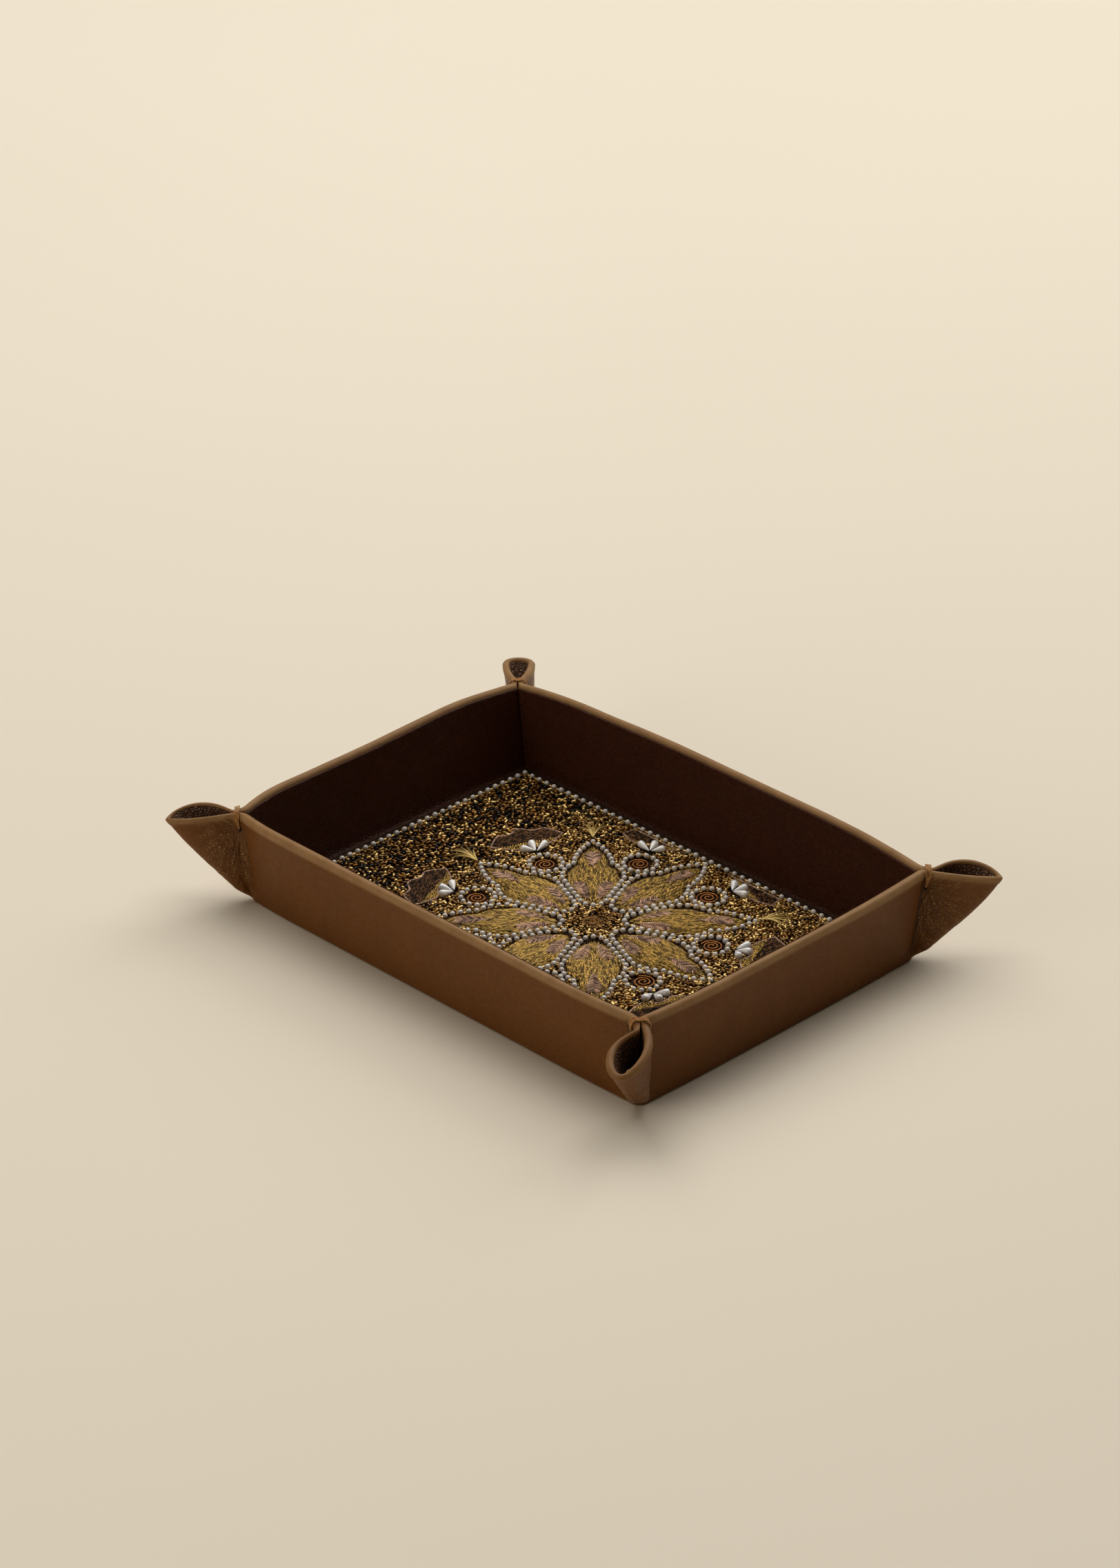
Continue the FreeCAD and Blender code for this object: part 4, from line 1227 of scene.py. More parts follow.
def stitch_rows(outline, middle, heading, pitch, length, skew):
    """Places and headings of staggered stitches that fill an outline."""
    size = np.linalg.norm(outline - middle, axis=1).max()
    across = np.arange(-size, size, pitch)
    grid_across, grid_along = np.meshgrid(across, np.arange(-size, size, length))
    grid_along = grid_along + length * rng.uniform(0, 1, len(across))[None, :]
    spots = np.column_stack([grid_along.ravel(), grid_across.ravel()])
    spots += rng.normal(0, 0.12 * pitch, spots.shape)
    c, s = math.cos(heading), math.sin(heading)
    spots = spots @ np.array([[c, s], [-s, c]]) + middle
    headings = heading + rng.normal(0, skew, len(spots))
    keep = reach_to(outline, middle, spots) < INSIDE
    return spots[keep], headings[keep]


def lay_stitches(spots, heights, headings, length, width):
    """Copies of the stitch; the length may differ from stitch to stitch."""
    count = len(spots)
    sizes = np.column_stack([np.broadcast_to(size, count) for size in (length, width, width)])
    places = np.column_stack([spots, np.broadcast_to(heights, count)])
    return copies(stitch, places, level_axes(headings), sizes * rng.uniform(0.9, 1.1, (count, 1)))


print(len(petal_solids), "petals round", [round(1000 * x, 1) for x in rosette])

# %% Finishes of the threads
def thread_metal(name, dark, light, metal, roughness, shine=0.25):
    """Metal or silk thread: colour by stitch, with the fine lay of its winding as bump."""
    thread = Finish(name, {"Metallic": metal, "Roughness": roughness, "Specular IOR Level": shine})
    uneven = thread.mapped(thread.noise(0.8 * MM), 0.3, 0.7, 0.6, 1.2)
    cloud = thread.reckon("MULTIPLY", thread.value("tint"), uneven)
    thread.feed("Base Color", thread.mixed(cloud, dark, light))
    thread.feed("Normal", thread.raised(thread.noise(0.12 * MM, 2.0), 0.03 * MM))
    return thread


gold_thread = thread_metal("gold_thread", screen(66, 46, 12), screen(220, 178, 90), 0.45, 0.38)
rose_thread = thread_metal("rose_thread", screen(76, 52, 40), screen(224, 180, 148), 0.3, 0.4)
dark_thread = thread_metal("dark_thread", screen(16, 8, 4), screen(134, 94, 60), 0.1, 0.5, 0.06)
knot_thread = thread_metal("knot_thread", screen(26, 14, 5), screen(168, 118, 54), 0.4, 0.34, 0.15)
copper_wire = thread_metal("copper_wire", screen(92, 52, 20), screen(190, 122, 60), 0.65, 0.3)
gilt_wire = thread_metal("gilt_wire", screen(160, 130, 58), screen(236, 208, 136), 0.4, 0.3)


def stitched_piece(name, parts, thread, slot, replaces=(), darker=1.0):
    """One piece of many stitches, each with its own tint; a higher power leaves more of them dark."""
    form = joined(parts)
    count = len(form[0]) // len(stitch[0])
    mesh_piece(name, form, thread, slot, replaces, tint=rng.uniform(0, 1, count) ** darker)


print(len(stitch[0]), "points in a stitch")

# %% Padding, gold stitches and the painted shade line round each petal
GOLD_PITCH = 0.5 * MM
GOLD_LENGTH = 1.9 * MM
GOLD_SKEW = 0.16
GOLD_LIFT = 0.05 * MM
CROWN = 0.35 * MM
PAD_SHARES = np.linspace(0.04, 1, 12)
PAD_TINT = 0.1
SHADE_LINE_RADIUS = 0.33 * MM

petal_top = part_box("gold_petals")[1].z
petal_height = petal_top - cloth_top
sprigs = [long_axis(points) for points in solids_of("petal_sprigs")]


def pad_height(share):
    """Height of the padding over the cloth between a petal's middle, 0, and its edge, 1."""
    share = np.clip(share, 0, 1)
    return (petal_height + CROWN) * (1 - share ** 5) - CROWN * share ** 2


def clear_of_sprigs(spots):
    """True for spots that no leaf of copper-pink thread covers."""
    clear = np.ones(len(spots), bool)
    for middle, axis, half_length, half_width in sprigs:
        away = spots - middle
        x = away @ axis / half_length
        y = away @ np.array((-axis[1], axis[0])) / half_width
        clear &= (np.abs(x) > 0.95) | (np.abs(y) > 0.85 * (1 - x ** 2))
    return clear


petal_outlines = [outline_of(points) for points in petal_solids]
pads, gold_parts, shade_lines = [], [], []
for outline, middle in petal_outlines:
    pads.append(mound(outline, middle, PAD_SHARES, cloth_top + pad_height(PAD_SHARES)))
    heading = heading_of(middle - rosette)
    spots, headings = stitch_rows(outline, middle, heading, GOLD_PITCH, GOLD_LENGTH, GOLD_SKEW)
    keep = clear_of_sprigs(spots)
    spots, headings = spots[keep], headings[keep]
    heights = cloth_top + pad_height(reach_to(outline, middle, spots)) + GOLD_LIFT
    gold_parts.append(lay_stitches(spots, heights, headings, 1.15 * GOLD_LENGTH, 1.1 * GOLD_PITCH))
    # The dark tube round each petal is painted shade for the gap where the gold meets the pearls.
    shade_lines.append(outline_tube(outline, cloth_top + 0.5 * SHADE_LINE_RADIUS, SHADE_LINE_RADIUS))

padding = mesh_piece(
    "petal_padding", joined(pads), gold_thread, "gold_thread", ["gold_petals"], tint=PAD_TINT)
stitched_piece("petal_stitches", gold_parts, gold_thread, "gold_thread")
lines = joined(shade_lines)
mesh_piece("petal_shade_lines", lines, dark_thread, "dark_thread", tint=rng.uniform(0, 0.4, len(lines[0])))

# %% Copper-pink leaves on the petals
SPRIG_PITCH = 0.85 * MM
SPRIG_SLANT = 0.85
SPRIG_WIDTH = 0.56 * MM
SPRIG_LIFT = 0.14 * MM
SPRIG_EXTRA = 0.6 * MM

sprig_parts = []
for middle, axis, half_length, half_width in sprigs:
    side = np.array((-axis[1], axis[0]))
    x = np.arange(-0.96 * half_length, 0.8 * half_length, SPRIG_PITCH)
    wide = half_width * (1 - (x / half_length) ** 2)
    lengths = SPRIG_EXTRA + wide * math.hypot(1, SPRIG_SLANT)
    for hand in (1, -1):
        spots = middle + np.outer(x + 0.5 * SPRIG_SLANT * wide, axis) + np.outer(hand * 0.52 * wide, side)
        heading = heading_of(axis) + hand * math.atan2(1, SPRIG_SLANT)
        headings = heading + rng.normal(0, 0.06, len(x))
        heights = np.full(len(x), petal_top + CROWN + 0.02 * MM)
        for outline, petal_middle in petal_outlines:
            share = reach_to(outline, petal_middle, spots)
            heights = np.where(share < 1, cloth_top + pad_height(share) + SPRIG_LIFT, heights)
        sprig_parts.append(lay_stitches(spots, heights, headings, lengths, SPRIG_WIDTH))
stitched_piece("petal_leaves", sprig_parts, rose_thread, "rose_thread", ["petal_sprigs"])

# %% [markdown]
# ## Between the petals
# Outside the rosette lie dark stitched leaves with a copper edge and a band of gold, wire spirals in
# their rings of pearls, drops of three white pearls, and small plumes of gilt wire. Each takes its
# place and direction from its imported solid. The leaves have one shape: the outline of the largest
# solid, drawn out and lobed, is turned to each place and cut off where the field ends.

# %% Shape of the dark leaves
EDGE_RADIUS = 0.5 * MM
LEAF_LONGER = 1.4
LEAF_WIDER = 1.3
LEAF_NEARER = 3 * MM
LOBE_DEPTH = 1.1 * MM
LEAF_POINTS = 160
SECTOR = 2 * np.pi / len(petal_solids)

field_low, field_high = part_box("bead_field")
leaf_low = np.array(field_low[:2]) + EDGE_RADIUS
leaf_high = np.array(field_high[:2]) - EDGE_RADIUS
leaf_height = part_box("leaf_patches")[1].z
leaf_solids = solids_of("leaf_patches")


def even_steps(outline, count):
    """Points at even steps along a closed outline."""
    closed = np.vstack([outline, outline[:1]])
    run = run_along(closed)
    steps = np.linspace(0, run[-1], count, endpoint=False)
    return np.column_stack([np.interp(steps, run, closed[:, axis]) for axis in (0, 1)])


def gap_frame(points):
    """Directions out along the gap between two petals in which a solid lies, and to its side."""
    turn = (heading_of(middle_of(points)[:2] - rosette) // SECTOR + 0.5) * SECTOR
    return np.array(((math.cos(turn), math.sin(turn)), (-math.sin(turn), math.cos(turn))))


spans = [np.prod(np.ptp(points[:, :2], axis=0)) for points in leaf_solids]
largest = leaf_solids[int(np.argmax(spans))]
leaf_form = (even_steps(outline_of(largest)[0], LEAF_POINTS) - rosette) @ gap_frame(largest).T
along, aside = leaf_form.T
near, far, half_wide = along.min(), along.max(), np.ptp(aside) / 2
aside = aside - middle_of(aside)
lobes = LOBE_DEPTH * np.cos(3 * np.pi * aside / half_wide) * eased(2 * (along - near) / (far - near) - 0.5)
leaf_form = np.column_stack([near - LEAF_NEARER + LEAF_LONGER * (along - near) + lobes, LEAF_WIDER * aside])
print("leaf %.1f by %.1f mm" % tuple(1000 * np.ptp(leaf_form, axis=0)))

# %% Stitch the dark leaves
DARK_PITCH = 0.5 * MM
DARK_LENGTH = 1.1 * MM
DARK_SKEW = 0.35
DARK_SINK = 0.1 * MM
BAND_SHARE = 0.28
BAND_TURN = 0.6
EDGE_SHARE = 0.96
BED_SHARES = np.linspace(0.04, 1, 5)
BED_SINK = 0.2 * MM
BED_FOOT = 0.05 * MM

bed_heights = np.where(BED_SHARES > 0.95, cloth_top + BED_FOOT, leaf_height - BED_SINK)
dark_parts, band_parts, edge_tubes, leaf_beds, leaf_outlines = [], [], [], [], []
for points in leaf_solids:
    turned = gap_frame(points)
    out = turned[0]
    outline = even_steps(np.clip(rosette + leaf_form @ turned, leaf_low, leaf_high), LEAF_POINTS)
    middle = outline.mean(axis=0)
    leaf_outlines.append((outline, middle))
    heading = heading_of(out) + np.pi / 2
    spots, headings = stitch_rows(outline, middle, heading, DARK_PITCH, DARK_LENGTH, DARK_SKEW)
    edge = (outline - rosette) @ out
    band = (spots - rosette) @ out < edge.min() + BAND_SHARE * np.ptp(edge)
    dark_parts.append(lay_stitches(
        spots[~band], leaf_height - DARK_SINK, headings[~band], 1.2 * DARK_LENGTH, DARK_PITCH))
    band_parts.append(lay_stitches(
        spots[band], leaf_height, headings[band] + BAND_TURN, DARK_LENGTH, DARK_PITCH))
    edge_tubes.append(outline_tube(middle + EDGE_SHARE * (outline - middle), leaf_height, EDGE_RADIUS))
    leaf_beds.append(mound(outline, middle, BED_SHARES, bed_heights))
mesh_piece("leaf_beds", joined(leaf_beds), dark_thread, "dark_thread", ["leaf_patches"], tint=0.0)
stitched_piece("leaf_stitches", dark_parts, dark_thread, "dark_thread", darker=2.2)
stitched_piece("leaf_bands", band_parts, gold_thread, "gold_thread")
edges = joined(edge_tubes)
edge_tint = rng.uniform(0.0, 0.7, len(edges[0]) // LINE_SIDES)
mesh_piece("leaf_edges", edges, rose_thread, "rose_thread", tint=edge_tint)

# %% Wire spirals
SPIRAL_TURNS = 2.5
SPIRAL_WIDER = 1.18
SPIRAL_EYE = 0.5 * MM
SPIRAL_WIRE = 0.31 * MM
SPIRAL_RISE = 0.25
COIL_PITCH = 0.42 * MM
COIL_DEPTH = 0.09
SPIRAL_SHARES = np.linspace(0, 1, 360)

wire_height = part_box("wire_spirals")[1].z - cloth_top
spirals, spiral_middles = [], []
for points in solids_of("wire_spirals"):
    middle = middle_of(points)[:2]
    spiral_middles.append(middle)
    outer = SPIRAL_WIDER * (np.ptp(points[:, :2], axis=0).mean() / 2 - wire_height / 2)
    turn = heading_of(middle - rosette) + SPIRAL_SHARES * SPIRAL_TURNS * 2 * np.pi
    radius = SPIRAL_EYE + (outer - SPIRAL_EYE) * SPIRAL_SHARES
    heights = cloth_top + wire_height / 2 + SPIRAL_RISE * wire_height * (1 - SPIRAL_SHARES)
    path = np.column_stack([middle + radius[:, None] * ways(turn), heights])
    thick = SPIRAL_WIRE * (1 + COIL_DEPTH * np.cos(2 * np.pi * run_along(path) / COIL_PITCH))
    spirals.append(tube(path, thick, 8))
spiral_reach = outer + SPIRAL_WIRE
spirals = joined(spirals)
spiral_tint = rng.uniform(0.2, 1.0, len(spirals[0]))
mesh_piece("spirals", spirals, copper_wire, "copper_wire", ["wire_spirals"], tint=spiral_tint)

# %% Drop pearls
DROP_PROFILE = [
    (-0.5, 0), (-0.485, 0.08), (-0.42, 0.2), (-0.3, 0.36), (-0.12, 0.6), (0.06, 0.82),
    (0.22, 0.97), (0.32, 1.0), (0.41, 0.88), (0.47, 0.58), (0.495, 0.25), (0.5, 0)]
DROP_FAN = math.radians(56)
DROP_GAP = 0.5 * MM
DROP_LIFT = 0.35 * MM
DROP_SHARES = (-0.4, -0.1, 0.2, 0.4)

drop_form = turned_form(DROP_PROFILE, 18)
white_pearl = pearl_finish("white_pearl", screen(234, 233, 234), screen(244, 239, 232))
drop_places, drop_headings, drop_sizes = [], [], []
for points in solids_of("drop_pearls"):
    _, axis, half_length, _ = long_axis(points)
    radius = np.ptp(points[:, 2]) / 2
    drop_places.append(middle_of(points))
    drop_headings.append(heading_of(axis))
    drop_sizes.append((2 * half_length, radius, radius))
drop_places = np.array(drop_places)
drop_headings = np.array(drop_headings)
drop_sizes = np.array(drop_sizes)
count = len(drop_places)
drop_ring = np.linalg.norm(drop_places[:, None, :2] - np.array(spiral_middles)[None], axis=2).argmin(axis=1)
for ring, spiral_middle in enumerate(spiral_middles):
    group = np.where(drop_ring == ring)[0]
    half_lengths = drop_sizes[group, :1] / 2
    foot = (drop_places[group, :2] - ways(drop_headings[group]) * half_lengths).mean(axis=0)
    out = heading_of(spiral_middle - rosette)
    lean = (drop_headings[group] - out + np.pi) % (2 * np.pi) - np.pi
    drop_headings[group] = out + DROP_FAN * (np.argsort(np.argsort(lean)) - 1)
    drop_places[group, :2] = foot + ways(drop_headings[group]) * (half_lengths + DROP_GAP)
drop_run = ways(drop_headings) * drop_sizes[:, :1]
drop_ends = np.vstack([drop_places[:, :2] + share * drop_run for share in DROP_SHARES])
drop_places[:, 2] += DROP_LIFT
drop_sizes = drop_sizes * rng.uniform(0.96, 1.04, (count, 1))
drop_axes = level_axes(drop_headings + rng.normal(0, 0.06, count), rng.uniform(0.0, 0.16, count))
drops = copies(drop_form, drop_places, drop_axes, drop_sizes)
mesh_piece("pearl_drops", drops, white_pearl, "drop_pearl", ["drop_pearls"], tint=rng.uniform(0, 1, count))

# %% Gilt plumes
PLUME_BLADES = 7
PLUME_SPREAD = math.radians(84)
PLUME_LENGTH = 13 * MM
PLUME_FOOT = 1.9 * MM
PLUME_RISE = 1.2 * MM
PLUME_START = 0.3 * MM
BLADE_RADIUS = 0.27 * MM
BLADE_STEPS = 18

share = np.linspace(0, 1, BLADE_STEPS)
blade_thick = BLADE_RADIUS * (0.35 + 0.75 * np.sin(np.pi * (0.08 + 0.86 * share)))
blades = []
for points in solids_of("gilt_fans"):
    away = points[:, :2] - rosette
    out = unit(away.mean(axis=0))
    root = rosette + out * ((away @ out).min() + PLUME_START)
    for number in range(PLUME_BLADES):
        aside = 2 * number / (PLUME_BLADES - 1) - 1
        lean = PLUME_SPREAD * (number / (PLUME_BLADES - 1) - 0.5) + rng.normal(0, 0.03)
        reach = PLUME_LENGTH * (1 - 0.22 * abs(aside)) * rng.uniform(0.9, 1.05)
        bend = heading_of(out) + lean * (0.35 + 0.85 * share)
        flat = root + np.cumsum(ways(bend) * (reach / BLADE_STEPS), axis=0)
        rise = cloth_top + PLUME_FOOT + PLUME_RISE * np.sin(np.pi * share * 0.85) * rng.uniform(0.6, 1.0)
        blades.append(tube(np.column_stack([flat, rise]), blade_thick, 6))
blade_tint = rng.uniform(0, 1, len(blades))
mesh_piece("gilt_plumes", joined(blades), gilt_wire, "gilt_wire", ["gilt_fans"], tint=blade_tint)

# %% Knots at the centre of the rosette
KNOT = 1.05 * MM
KNOTS = 46
KNOT_SPREAD = 0.8
KNOT_LIFT = 0.55 * MM
KNOT_DOME = 0.5 * MM
GOLDEN_TURN = math.pi * (3 - math.sqrt(5))

centre_low, centre_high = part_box("centre_patch")
centre_radius = KNOT_SPREAD * (centre_high.x - centre_low.x) / 2
number = np.arange(KNOTS) + 0.5
radius = centre_radius * np.sqrt(number / KNOTS)
knot_dome = KNOT_DOME * (1 - radius / centre_radius)
knot_places = np.column_stack([
    rosette + radius[:, None] * ways(number * GOLDEN_TURN),
    cloth_top + KNOT_LIFT + knot_dome + rng.uniform(0, 0.2 * MM, KNOTS)])
knot_turns = np.linspace(0, 2 * np.pi, 8)[:-1]
knot_form = ring_form([(0.35 * math.sin(turn), 0.6 + 0.4 * math.cos(turn)) for turn in knot_turns], 10)
knot_axes = level_axes(rng.uniform(0, 2 * np.pi, KNOTS), np.pi / 2 + rng.normal(0, 0.35, KNOTS))
knots = copies(knot_form, knot_places, knot_axes, np.full((KNOTS, 3), 0.75 * KNOT))
mesh_piece(
    "centre_knots", knots, knot_thread, "dark_thread", ["centre_patch"], tint=rng.uniform(0.1, 0.9, KNOTS))

# %% [markdown]
# ## The bead field
# Short cut-glass tubes fill the ground. They lie in every direction and touch, so random places are not
# enough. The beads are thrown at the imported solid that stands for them, then each pair that overlaps is
# pushed apart for a few rounds, and a bead that would leave the field goes back. Flat-sided beads with
# a bore catch the light one by one.

# %% Throw the beads
BEAD_LENGTH = 1.9 * MM
BEAD_WIDTH = 1.22 * MM
BEAD_SPACE = 1.42 * MM
THROWS = 60000
DROP_FROM = 5 * MM
TOP_SLICE = 0.1 * MM

field = frame["nodes"]["bead_field"].data
field_tree = BVHTree.FromPolygons([v.co for v in field.vertices], [p.vertices for p in field.polygons])
field_top = field_high.z


def in_field(spots):
    """True for spots over the solid of the bead field."""
    hits = []
    for x, y in spots:
        place = field_tree.ray_cast(Vector((x, y, field_top + DROP_FROM)), Vector((0, 0, -1)))[0]
        hits.append(place is not None and place.z > field_top - TOP_SLICE)
    return np.array(hits)


throws = rng.uniform((field_low.x, field_low.y), (field_high.x, field_high.y), (THROWS, 2))
taken = {}
spots = []
for x, y in throws:
    i, j = int(x // BEAD_SPACE), int(y // BEAD_SPACE)
    near = [taken.get((i + a, j + b)) for a in (-1, 0, 1) for b in (-1, 0, 1)]
    if all(n is None or (n[0] - x) ** 2 + (n[1] - y) ** 2 > BEAD_SPACE ** 2 for n in near):
        taken[i, j] = (x, y)
        spots.append((x, y))
spots = np.array(spots)
spots = spots[in_field(spots)]
headings = rng.uniform(0, np.pi, len(spots))
print(len(spots), "beads in the field")

# %% Push overlapping beads apart
ROUNDS = 40
CHECK_EVERY = 8
PUSH_SHARE = 0.16
CLOSEST = 0.96 * BEAD_WIDTH
MOST_MOVE = 0.3 * MM
MOST_TURN = 0.3
CLEAR_OF_OUTLINE = 1.03


def near_pairs(spots, distance):
    """Pairs of spots that lie within a distance, found through a grid of cells."""
    cells = {}
    for index, (x, y) in enumerate(spots):
        cells.setdefault((int(x // distance), int(y // distance)), []).append(index)
    pairs = []
    for (i, j), members in cells.items():
        around = [k for a in (-1, 0, 1) for b in (-1, 0, 1) for k in cells.get((i + a, j + b), ())]
        pairs += [(k, m) for k in members for m in around if k < m]
    pairs = np.array(pairs)
    gap = np.linalg.norm(spots[pairs[:, 0]] - spots[pairs[:, 1]], axis=1)
    return pairs[gap < distance]


first, second = near_pairs(spots, 1.25 * BEAD_LENGTH).T
arm = (BEAD_LENGTH - BEAD_WIDTH) / 2
for step in range(ROUNDS):
    direction = ways(headings)
    moves = np.zeros_like(spots)
    turns = np.zeros(len(spots))
    for a, b in [(a, b) for a in (-arm, 0, arm) for b in (-arm, 0, arm)]:
        gap = spots[first] + a * direction[first] - spots[second] - b * direction[second]
        distance = np.maximum(np.linalg.norm(gap, axis=1), 1e-7)
        force = PUSH_SHARE * np.maximum(CLOSEST - distance, 0)[:, None] * gap / distance[:, None]
        for sign, own, lever in ((1, first, a), (-1, second, b)):
            np.add.at(moves, own, sign * force)
            torque = direction[own, 0] * force[:, 1] - direction[own, 1] * force[:, 0]
            np.add.at(turns, own, sign * lever * torque / arm ** 2)
    moved = spots + np.clip(moves, -MOST_MOVE, MOST_MOVE)
    if (step + 1) % CHECK_EVERY == 0:
        moved = np.where(in_field(moved)[:, None], moved, spots)
    spots = moved
    headings = headings + np.clip(turns, -MOST_TURN, MOST_TURN)
inside = in_field(spots)
for outline, middle in leaf_outlines:
    inside &= reach_to(outline, middle, spots) > CLEAR_OF_OUTLINE
spots, headings = spots[inside], headings[inside]
print(len(spots), "beads kept")

# %% Finishes of the glass and the beads themselves
BLACK_SHARE = 0.14
AMBER_SHARE = 0.46
DARKENING_RUN = 80 * MM
BEAD_LIFT = 0.45 * MM
GLASS_DARKER = 1.8


def glass_finish(name, dark, light, metal, roughness):
    """Cut glass: tinted by bead, with a bright coat."""
    glass = Finish(name, {
        "Metallic": metal, "Coat Weight": 0.12, "Coat Roughness": 0.06, "Specular IOR Level": 0.2})
    glass.feed("Base Color", glass.mixed(glass.value("tint"), dark, light))
    glass.feed("Roughness", glass.mapped(glass.noise(0.6 * MM), 0.3, 0.7, roughness, roughness + 0.12))
    glass.feed("Normal", glass.raised(glass.noise(0.4 * MM, 2.0), 0.02 * MM))
    return glass


gold_glass = glass_finish("gold_glass", screen(108, 72, 22), screen(248, 210, 134), 0.7, 0.16)
amber_glass = glass_finish("amber_glass", screen(84, 53, 13), screen(154, 106, 36), 0.5, 0.14)
black_glass = glass_finish("black_glass", screen(14, 8, 3), screen(38, 22, 9), 0.4, 0.14)

bead_form = ring_form([(-0.5, 0.4), (-0.5, 0.8), (-0.42, 1.0), (0.42, 1.0), (0.5, 0.8), (0.5, 0.4)], 8)
left_share = np.clip((rosette[0] - spots[:, 0]) / DARKENING_RUN, 0, 1)
black = rng.uniform(0, 1, len(spots)) < BLACK_SHARE * (0.35 + 1.2 * left_share)
amber = ~black & (rng.uniform(0, 1, len(spots)) < AMBER_SHARE)
kinds = (
    ("black_beads", black, black_glass, ()), ("amber_beads", amber, amber_glass, ()),
    ("gold_beads", ~black & ~amber, gold_glass, ["bead_field"]))
for name, chosen, glass, replaces in kinds:
    count = int(chosen.sum())
    lift = BEAD_WIDTH / 2 + rng.uniform(0, BEAD_LIFT, count)
    places = np.column_stack([spots[chosen], cloth_top + lift])
    axes = level_axes(headings[chosen], rng.normal(0, 0.2, count), rng.uniform(0, np.pi, count))
    long = BEAD_LENGTH * rng.uniform(0.78, 1.06, count)
    wide = BEAD_WIDTH / 2 * rng.uniform(0.9, 1.04, count)
    beads = copies(bead_form, places, axes, np.column_stack([long, wide, wide]))
    mesh_piece(name, beads, glass, "beads", replaces, tint=rng.uniform(0, 1, count) ** GLASS_DARKER)

# %% Gold beads between the border pearls
SPACER_LENGTH = 1.5 * MM
SPACER_WIDTH = 1.15 * MM
SAME_ROW = 0.5 * MM

spacer_places, spacer_headings = [], []
for axis in (0, 1):
    level = border_places[:, 1 - axis]
    for edge in (level.min(), level.max()):
        row = border_places[np.abs(level - edge) < SAME_ROW]
        row = row[np.argsort(row[:, axis])]
        spacer_places.append((row[1:] + row[:-1]) / 2)
        spacer_headings.append(np.full(len(row) - 1, axis * np.pi / 2))
spacer_places = np.concatenate(spacer_places)
spacer_places[:, 2] = cloth_top + SPACER_WIDTH / 2
count = len(spacer_places)
spacer_headings = np.concatenate(spacer_headings) + rng.normal(0, 0.12, count)
spacer_axes = level_axes(spacer_headings, 0.0, rng.uniform(0, np.pi, count))
spacer_size = np.array([SPACER_LENGTH, SPACER_WIDTH / 2, SPACER_WIDTH / 2])
spacer_sizes = spacer_size * rng.uniform(0.9, 1.08, (count, 1))
spacers = copies(bead_form, spacer_places, spacer_axes, spacer_sizes)
mesh_piece("border_beads", spacers, gold_glass, "beads", tint=rng.uniform(0, 1, count))

# %% Gold seeds in the gaps between petals, rings and pearls
SEED = 1.15 * MM
SEED_THROWS = 40000
SEED_REACH = 62
SEED_ROOM = 0.92 * SEED
PEARL_ROOM = 0.88 * (PEARL + SEED) / 2
DROP_ROOM = 1.9 * MM
SEED_LIFT = 0.5 * MM
CENTRE_REACH = 9 * MM
CENTRE_TINT = 0.45


def farther(spots, middle, distance):
    return spots[np.linalg.norm(spots - middle, axis=1) > distance]


pearl_places = np.vstack([border_places, petal_places, ring_places])[:, :2]
tries = rng.uniform(-1, 1, (SEED_THROWS, 2)) * SEED_REACH * MM + rosette
tries = tries[(np.abs(tries[:, 1]) < field_high.y) & (tries[:, 0] < field_high.x)]
for outline, middle in petal_outlines + leaf_outlines:
    tries = tries[reach_to(outline, middle, tries) > CLEAR_OF_OUTLINE]
for middle in spiral_middles:
    tries = farther(tries, middle, spiral_reach + SEED / 2)
tries = farther(tries, rosette, centre_radius)
for end in drop_ends:
    tries = farther(tries, end, DROP_ROOM)
taken_spots = np.vstack([pearl_places, spots])
room = np.repeat((PEARL_ROOM, SEED_ROOM), (len(pearl_places), len(spots)))
seeds = []
for spot in tries:
    away = np.hypot(taken_spots[:, 0] - spot[0], taken_spots[:, 1] - spot[1])
    if (away > room).all():
        seeds.append(spot)
        taken_spots = np.vstack([taken_spots, spot])
        room = np.append(room, SEED_ROOM)
seeds = np.array(seeds)
count = len(seeds)
seed_axes = level_axes(
    rng.uniform(0, np.pi, count), rng.normal(0, 0.4, count), rng.uniform(0, np.pi, count))
seed_sizes = np.array([1.05 * SEED, SEED / 2, SEED / 2]) * rng.uniform(0.9, 1.1, (count, 1))
seed_places = np.column_stack([seeds, cloth_top + SEED / 2 + rng.uniform(0, SEED_LIFT, count)])
seed_tint = rng.uniform(0, 1, count) ** GLASS_DARKER
seed_tint[np.linalg.norm(seeds - rosette, axis=1) < CENTRE_REACH] *= CENTRE_TINT
seed_copies = copies(bead_form, seed_places, seed_axes, seed_sizes)
mesh_piece("gold_seeds", seed_copies, gold_glass, "beads", tint=seed_tint)
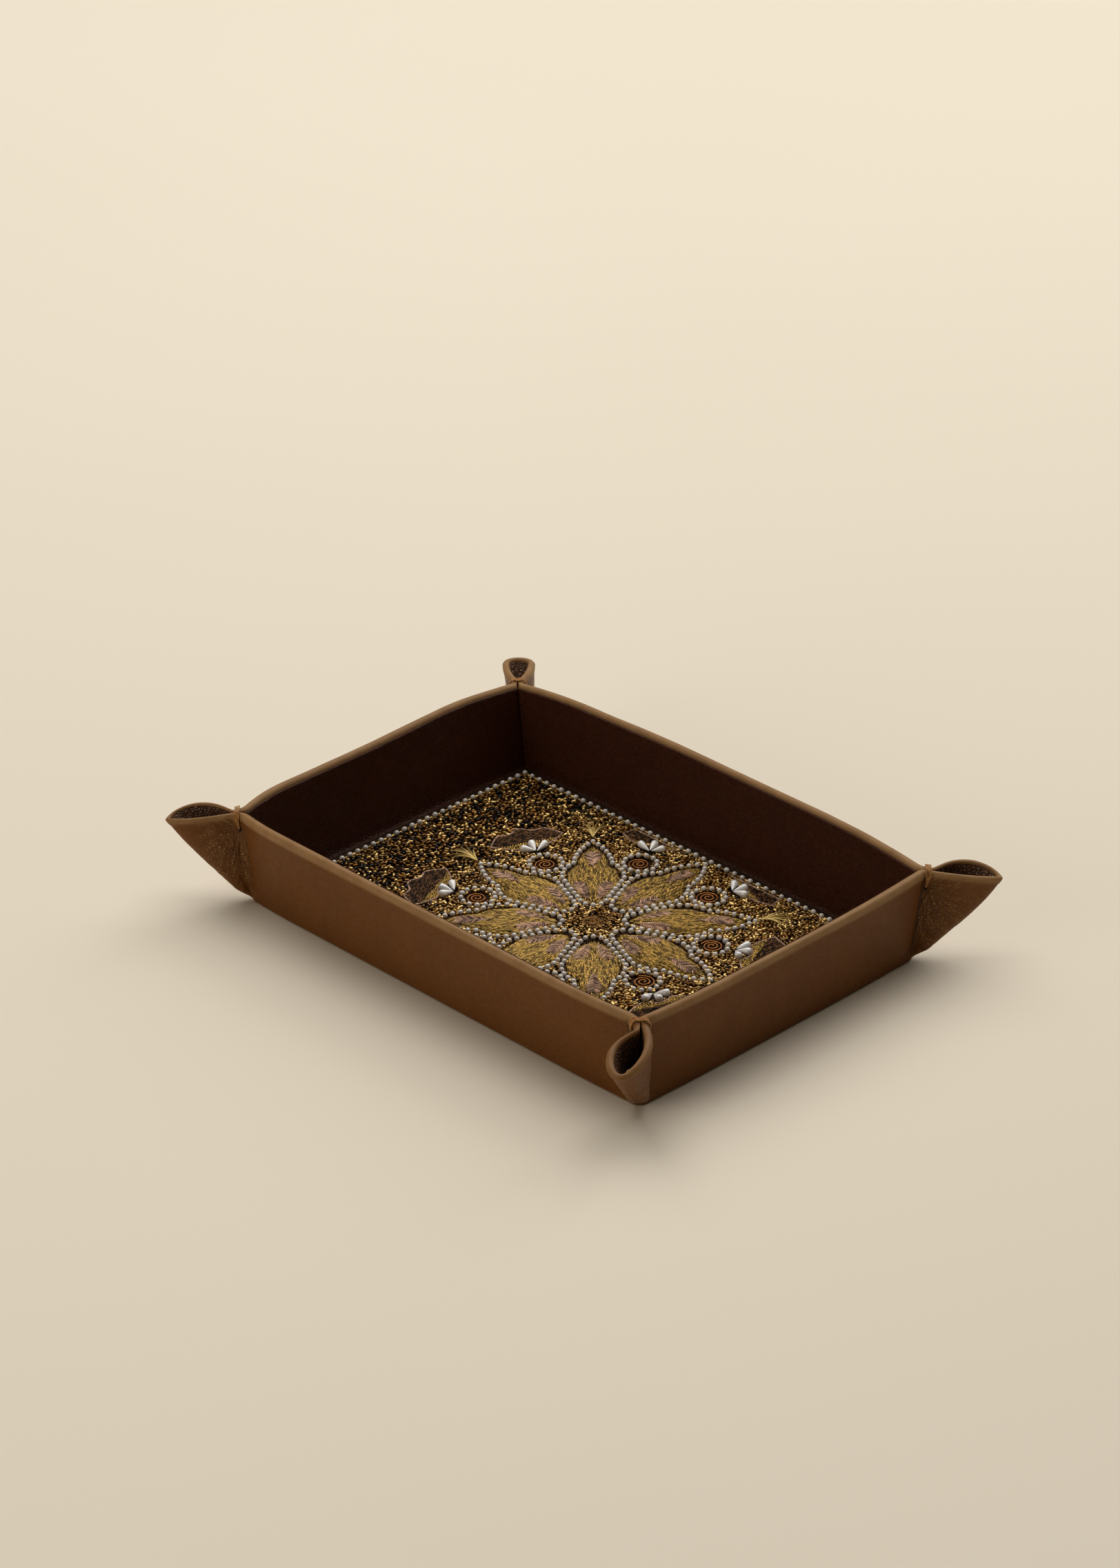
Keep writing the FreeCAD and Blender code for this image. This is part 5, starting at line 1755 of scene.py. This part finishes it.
print(count, "seeds")

# %% [markdown]
# ## Boards
# Grey board stiffens the walls, the base and the loose panel: pressed paper pulp with short dark
# fibres. It is closed in by leather and cloth. The two flat boards are right as packed and only get the
# finish. The wall boards have to lean out with their leather, so they are made anew from their section
# and flared.

# %% Finish of the boards
board_finish = Finish("grey_board", {"Roughness": 0.9, "Specular IOR Level": 0.2})
pulp = board_finish.mixed(board_finish.noise(2 * MM, 6.0), screen(128, 118, 104), screen(168, 158, 142))
fibres = board_finish.mapped(board_finish.noise(0.3 * MM, 2.0), 0.6, 0.7, 0.0, 0.5)
board_finish.feed("Base Color", board_finish.mixed(fibres, pulp, screen(96, 84, 70)))
board_finish.feed("Normal", board_finish.raised(board_finish.noise(0.5 * MM), 0.04 * MM))
for name in ("base_board", "insert_board"):
    board = frame["nodes"][name]
    board.data.materials.clear()
    board.data.materials.append(board_finish.material)
    print(name, "finished")

# %% Wall boards
BOARD_FACES = (1.1 * MM, 3.2 * MM)
BOARD_FOOT = 3.4 * MM
BOARD_ROWS = 12
BOARD_STEPS = 48


def wall_board(out, side, facing):
    """Board of one wall, made for a wall that faces +X and then turned."""
    heights = np.linspace(BOARD_FOOT, rim_top - RIM_ROUND, BOARD_ROWS)
    height = np.concatenate([heights, heights[::-1]])
    face = out + height * lean_out - np.repeat(BOARD_FACES, BOARD_ROWS)
    y = np.outer(np.linspace(-1, 1, BOARD_STEPS), side + height * lean_out - LINING_DEPTH)
    spots = [np.broadcast_to(face, y.shape), y, np.broadcast_to(height, y.shape)]
    points = np.stack(spots, axis=2).reshape(-1, 3)
    ends = np.array([np.arange(len(face))[::-1], len(points) - len(face) + np.arange(len(face))])
    return facing_wall(points, facing), [grid_faces(BOARD_STEPS, len(face), True), ends]


mesh_piece(
    "wall_boards", joined([wall_board(*place) for place in wall_places]), board_finish, "board",
    [wall + "_board" for wall in wall_names])

# %% [markdown]
# ## Finish
# The last cell brings the view layer up to date.

# %% Update the view layer
bpy.context.view_layer.update()
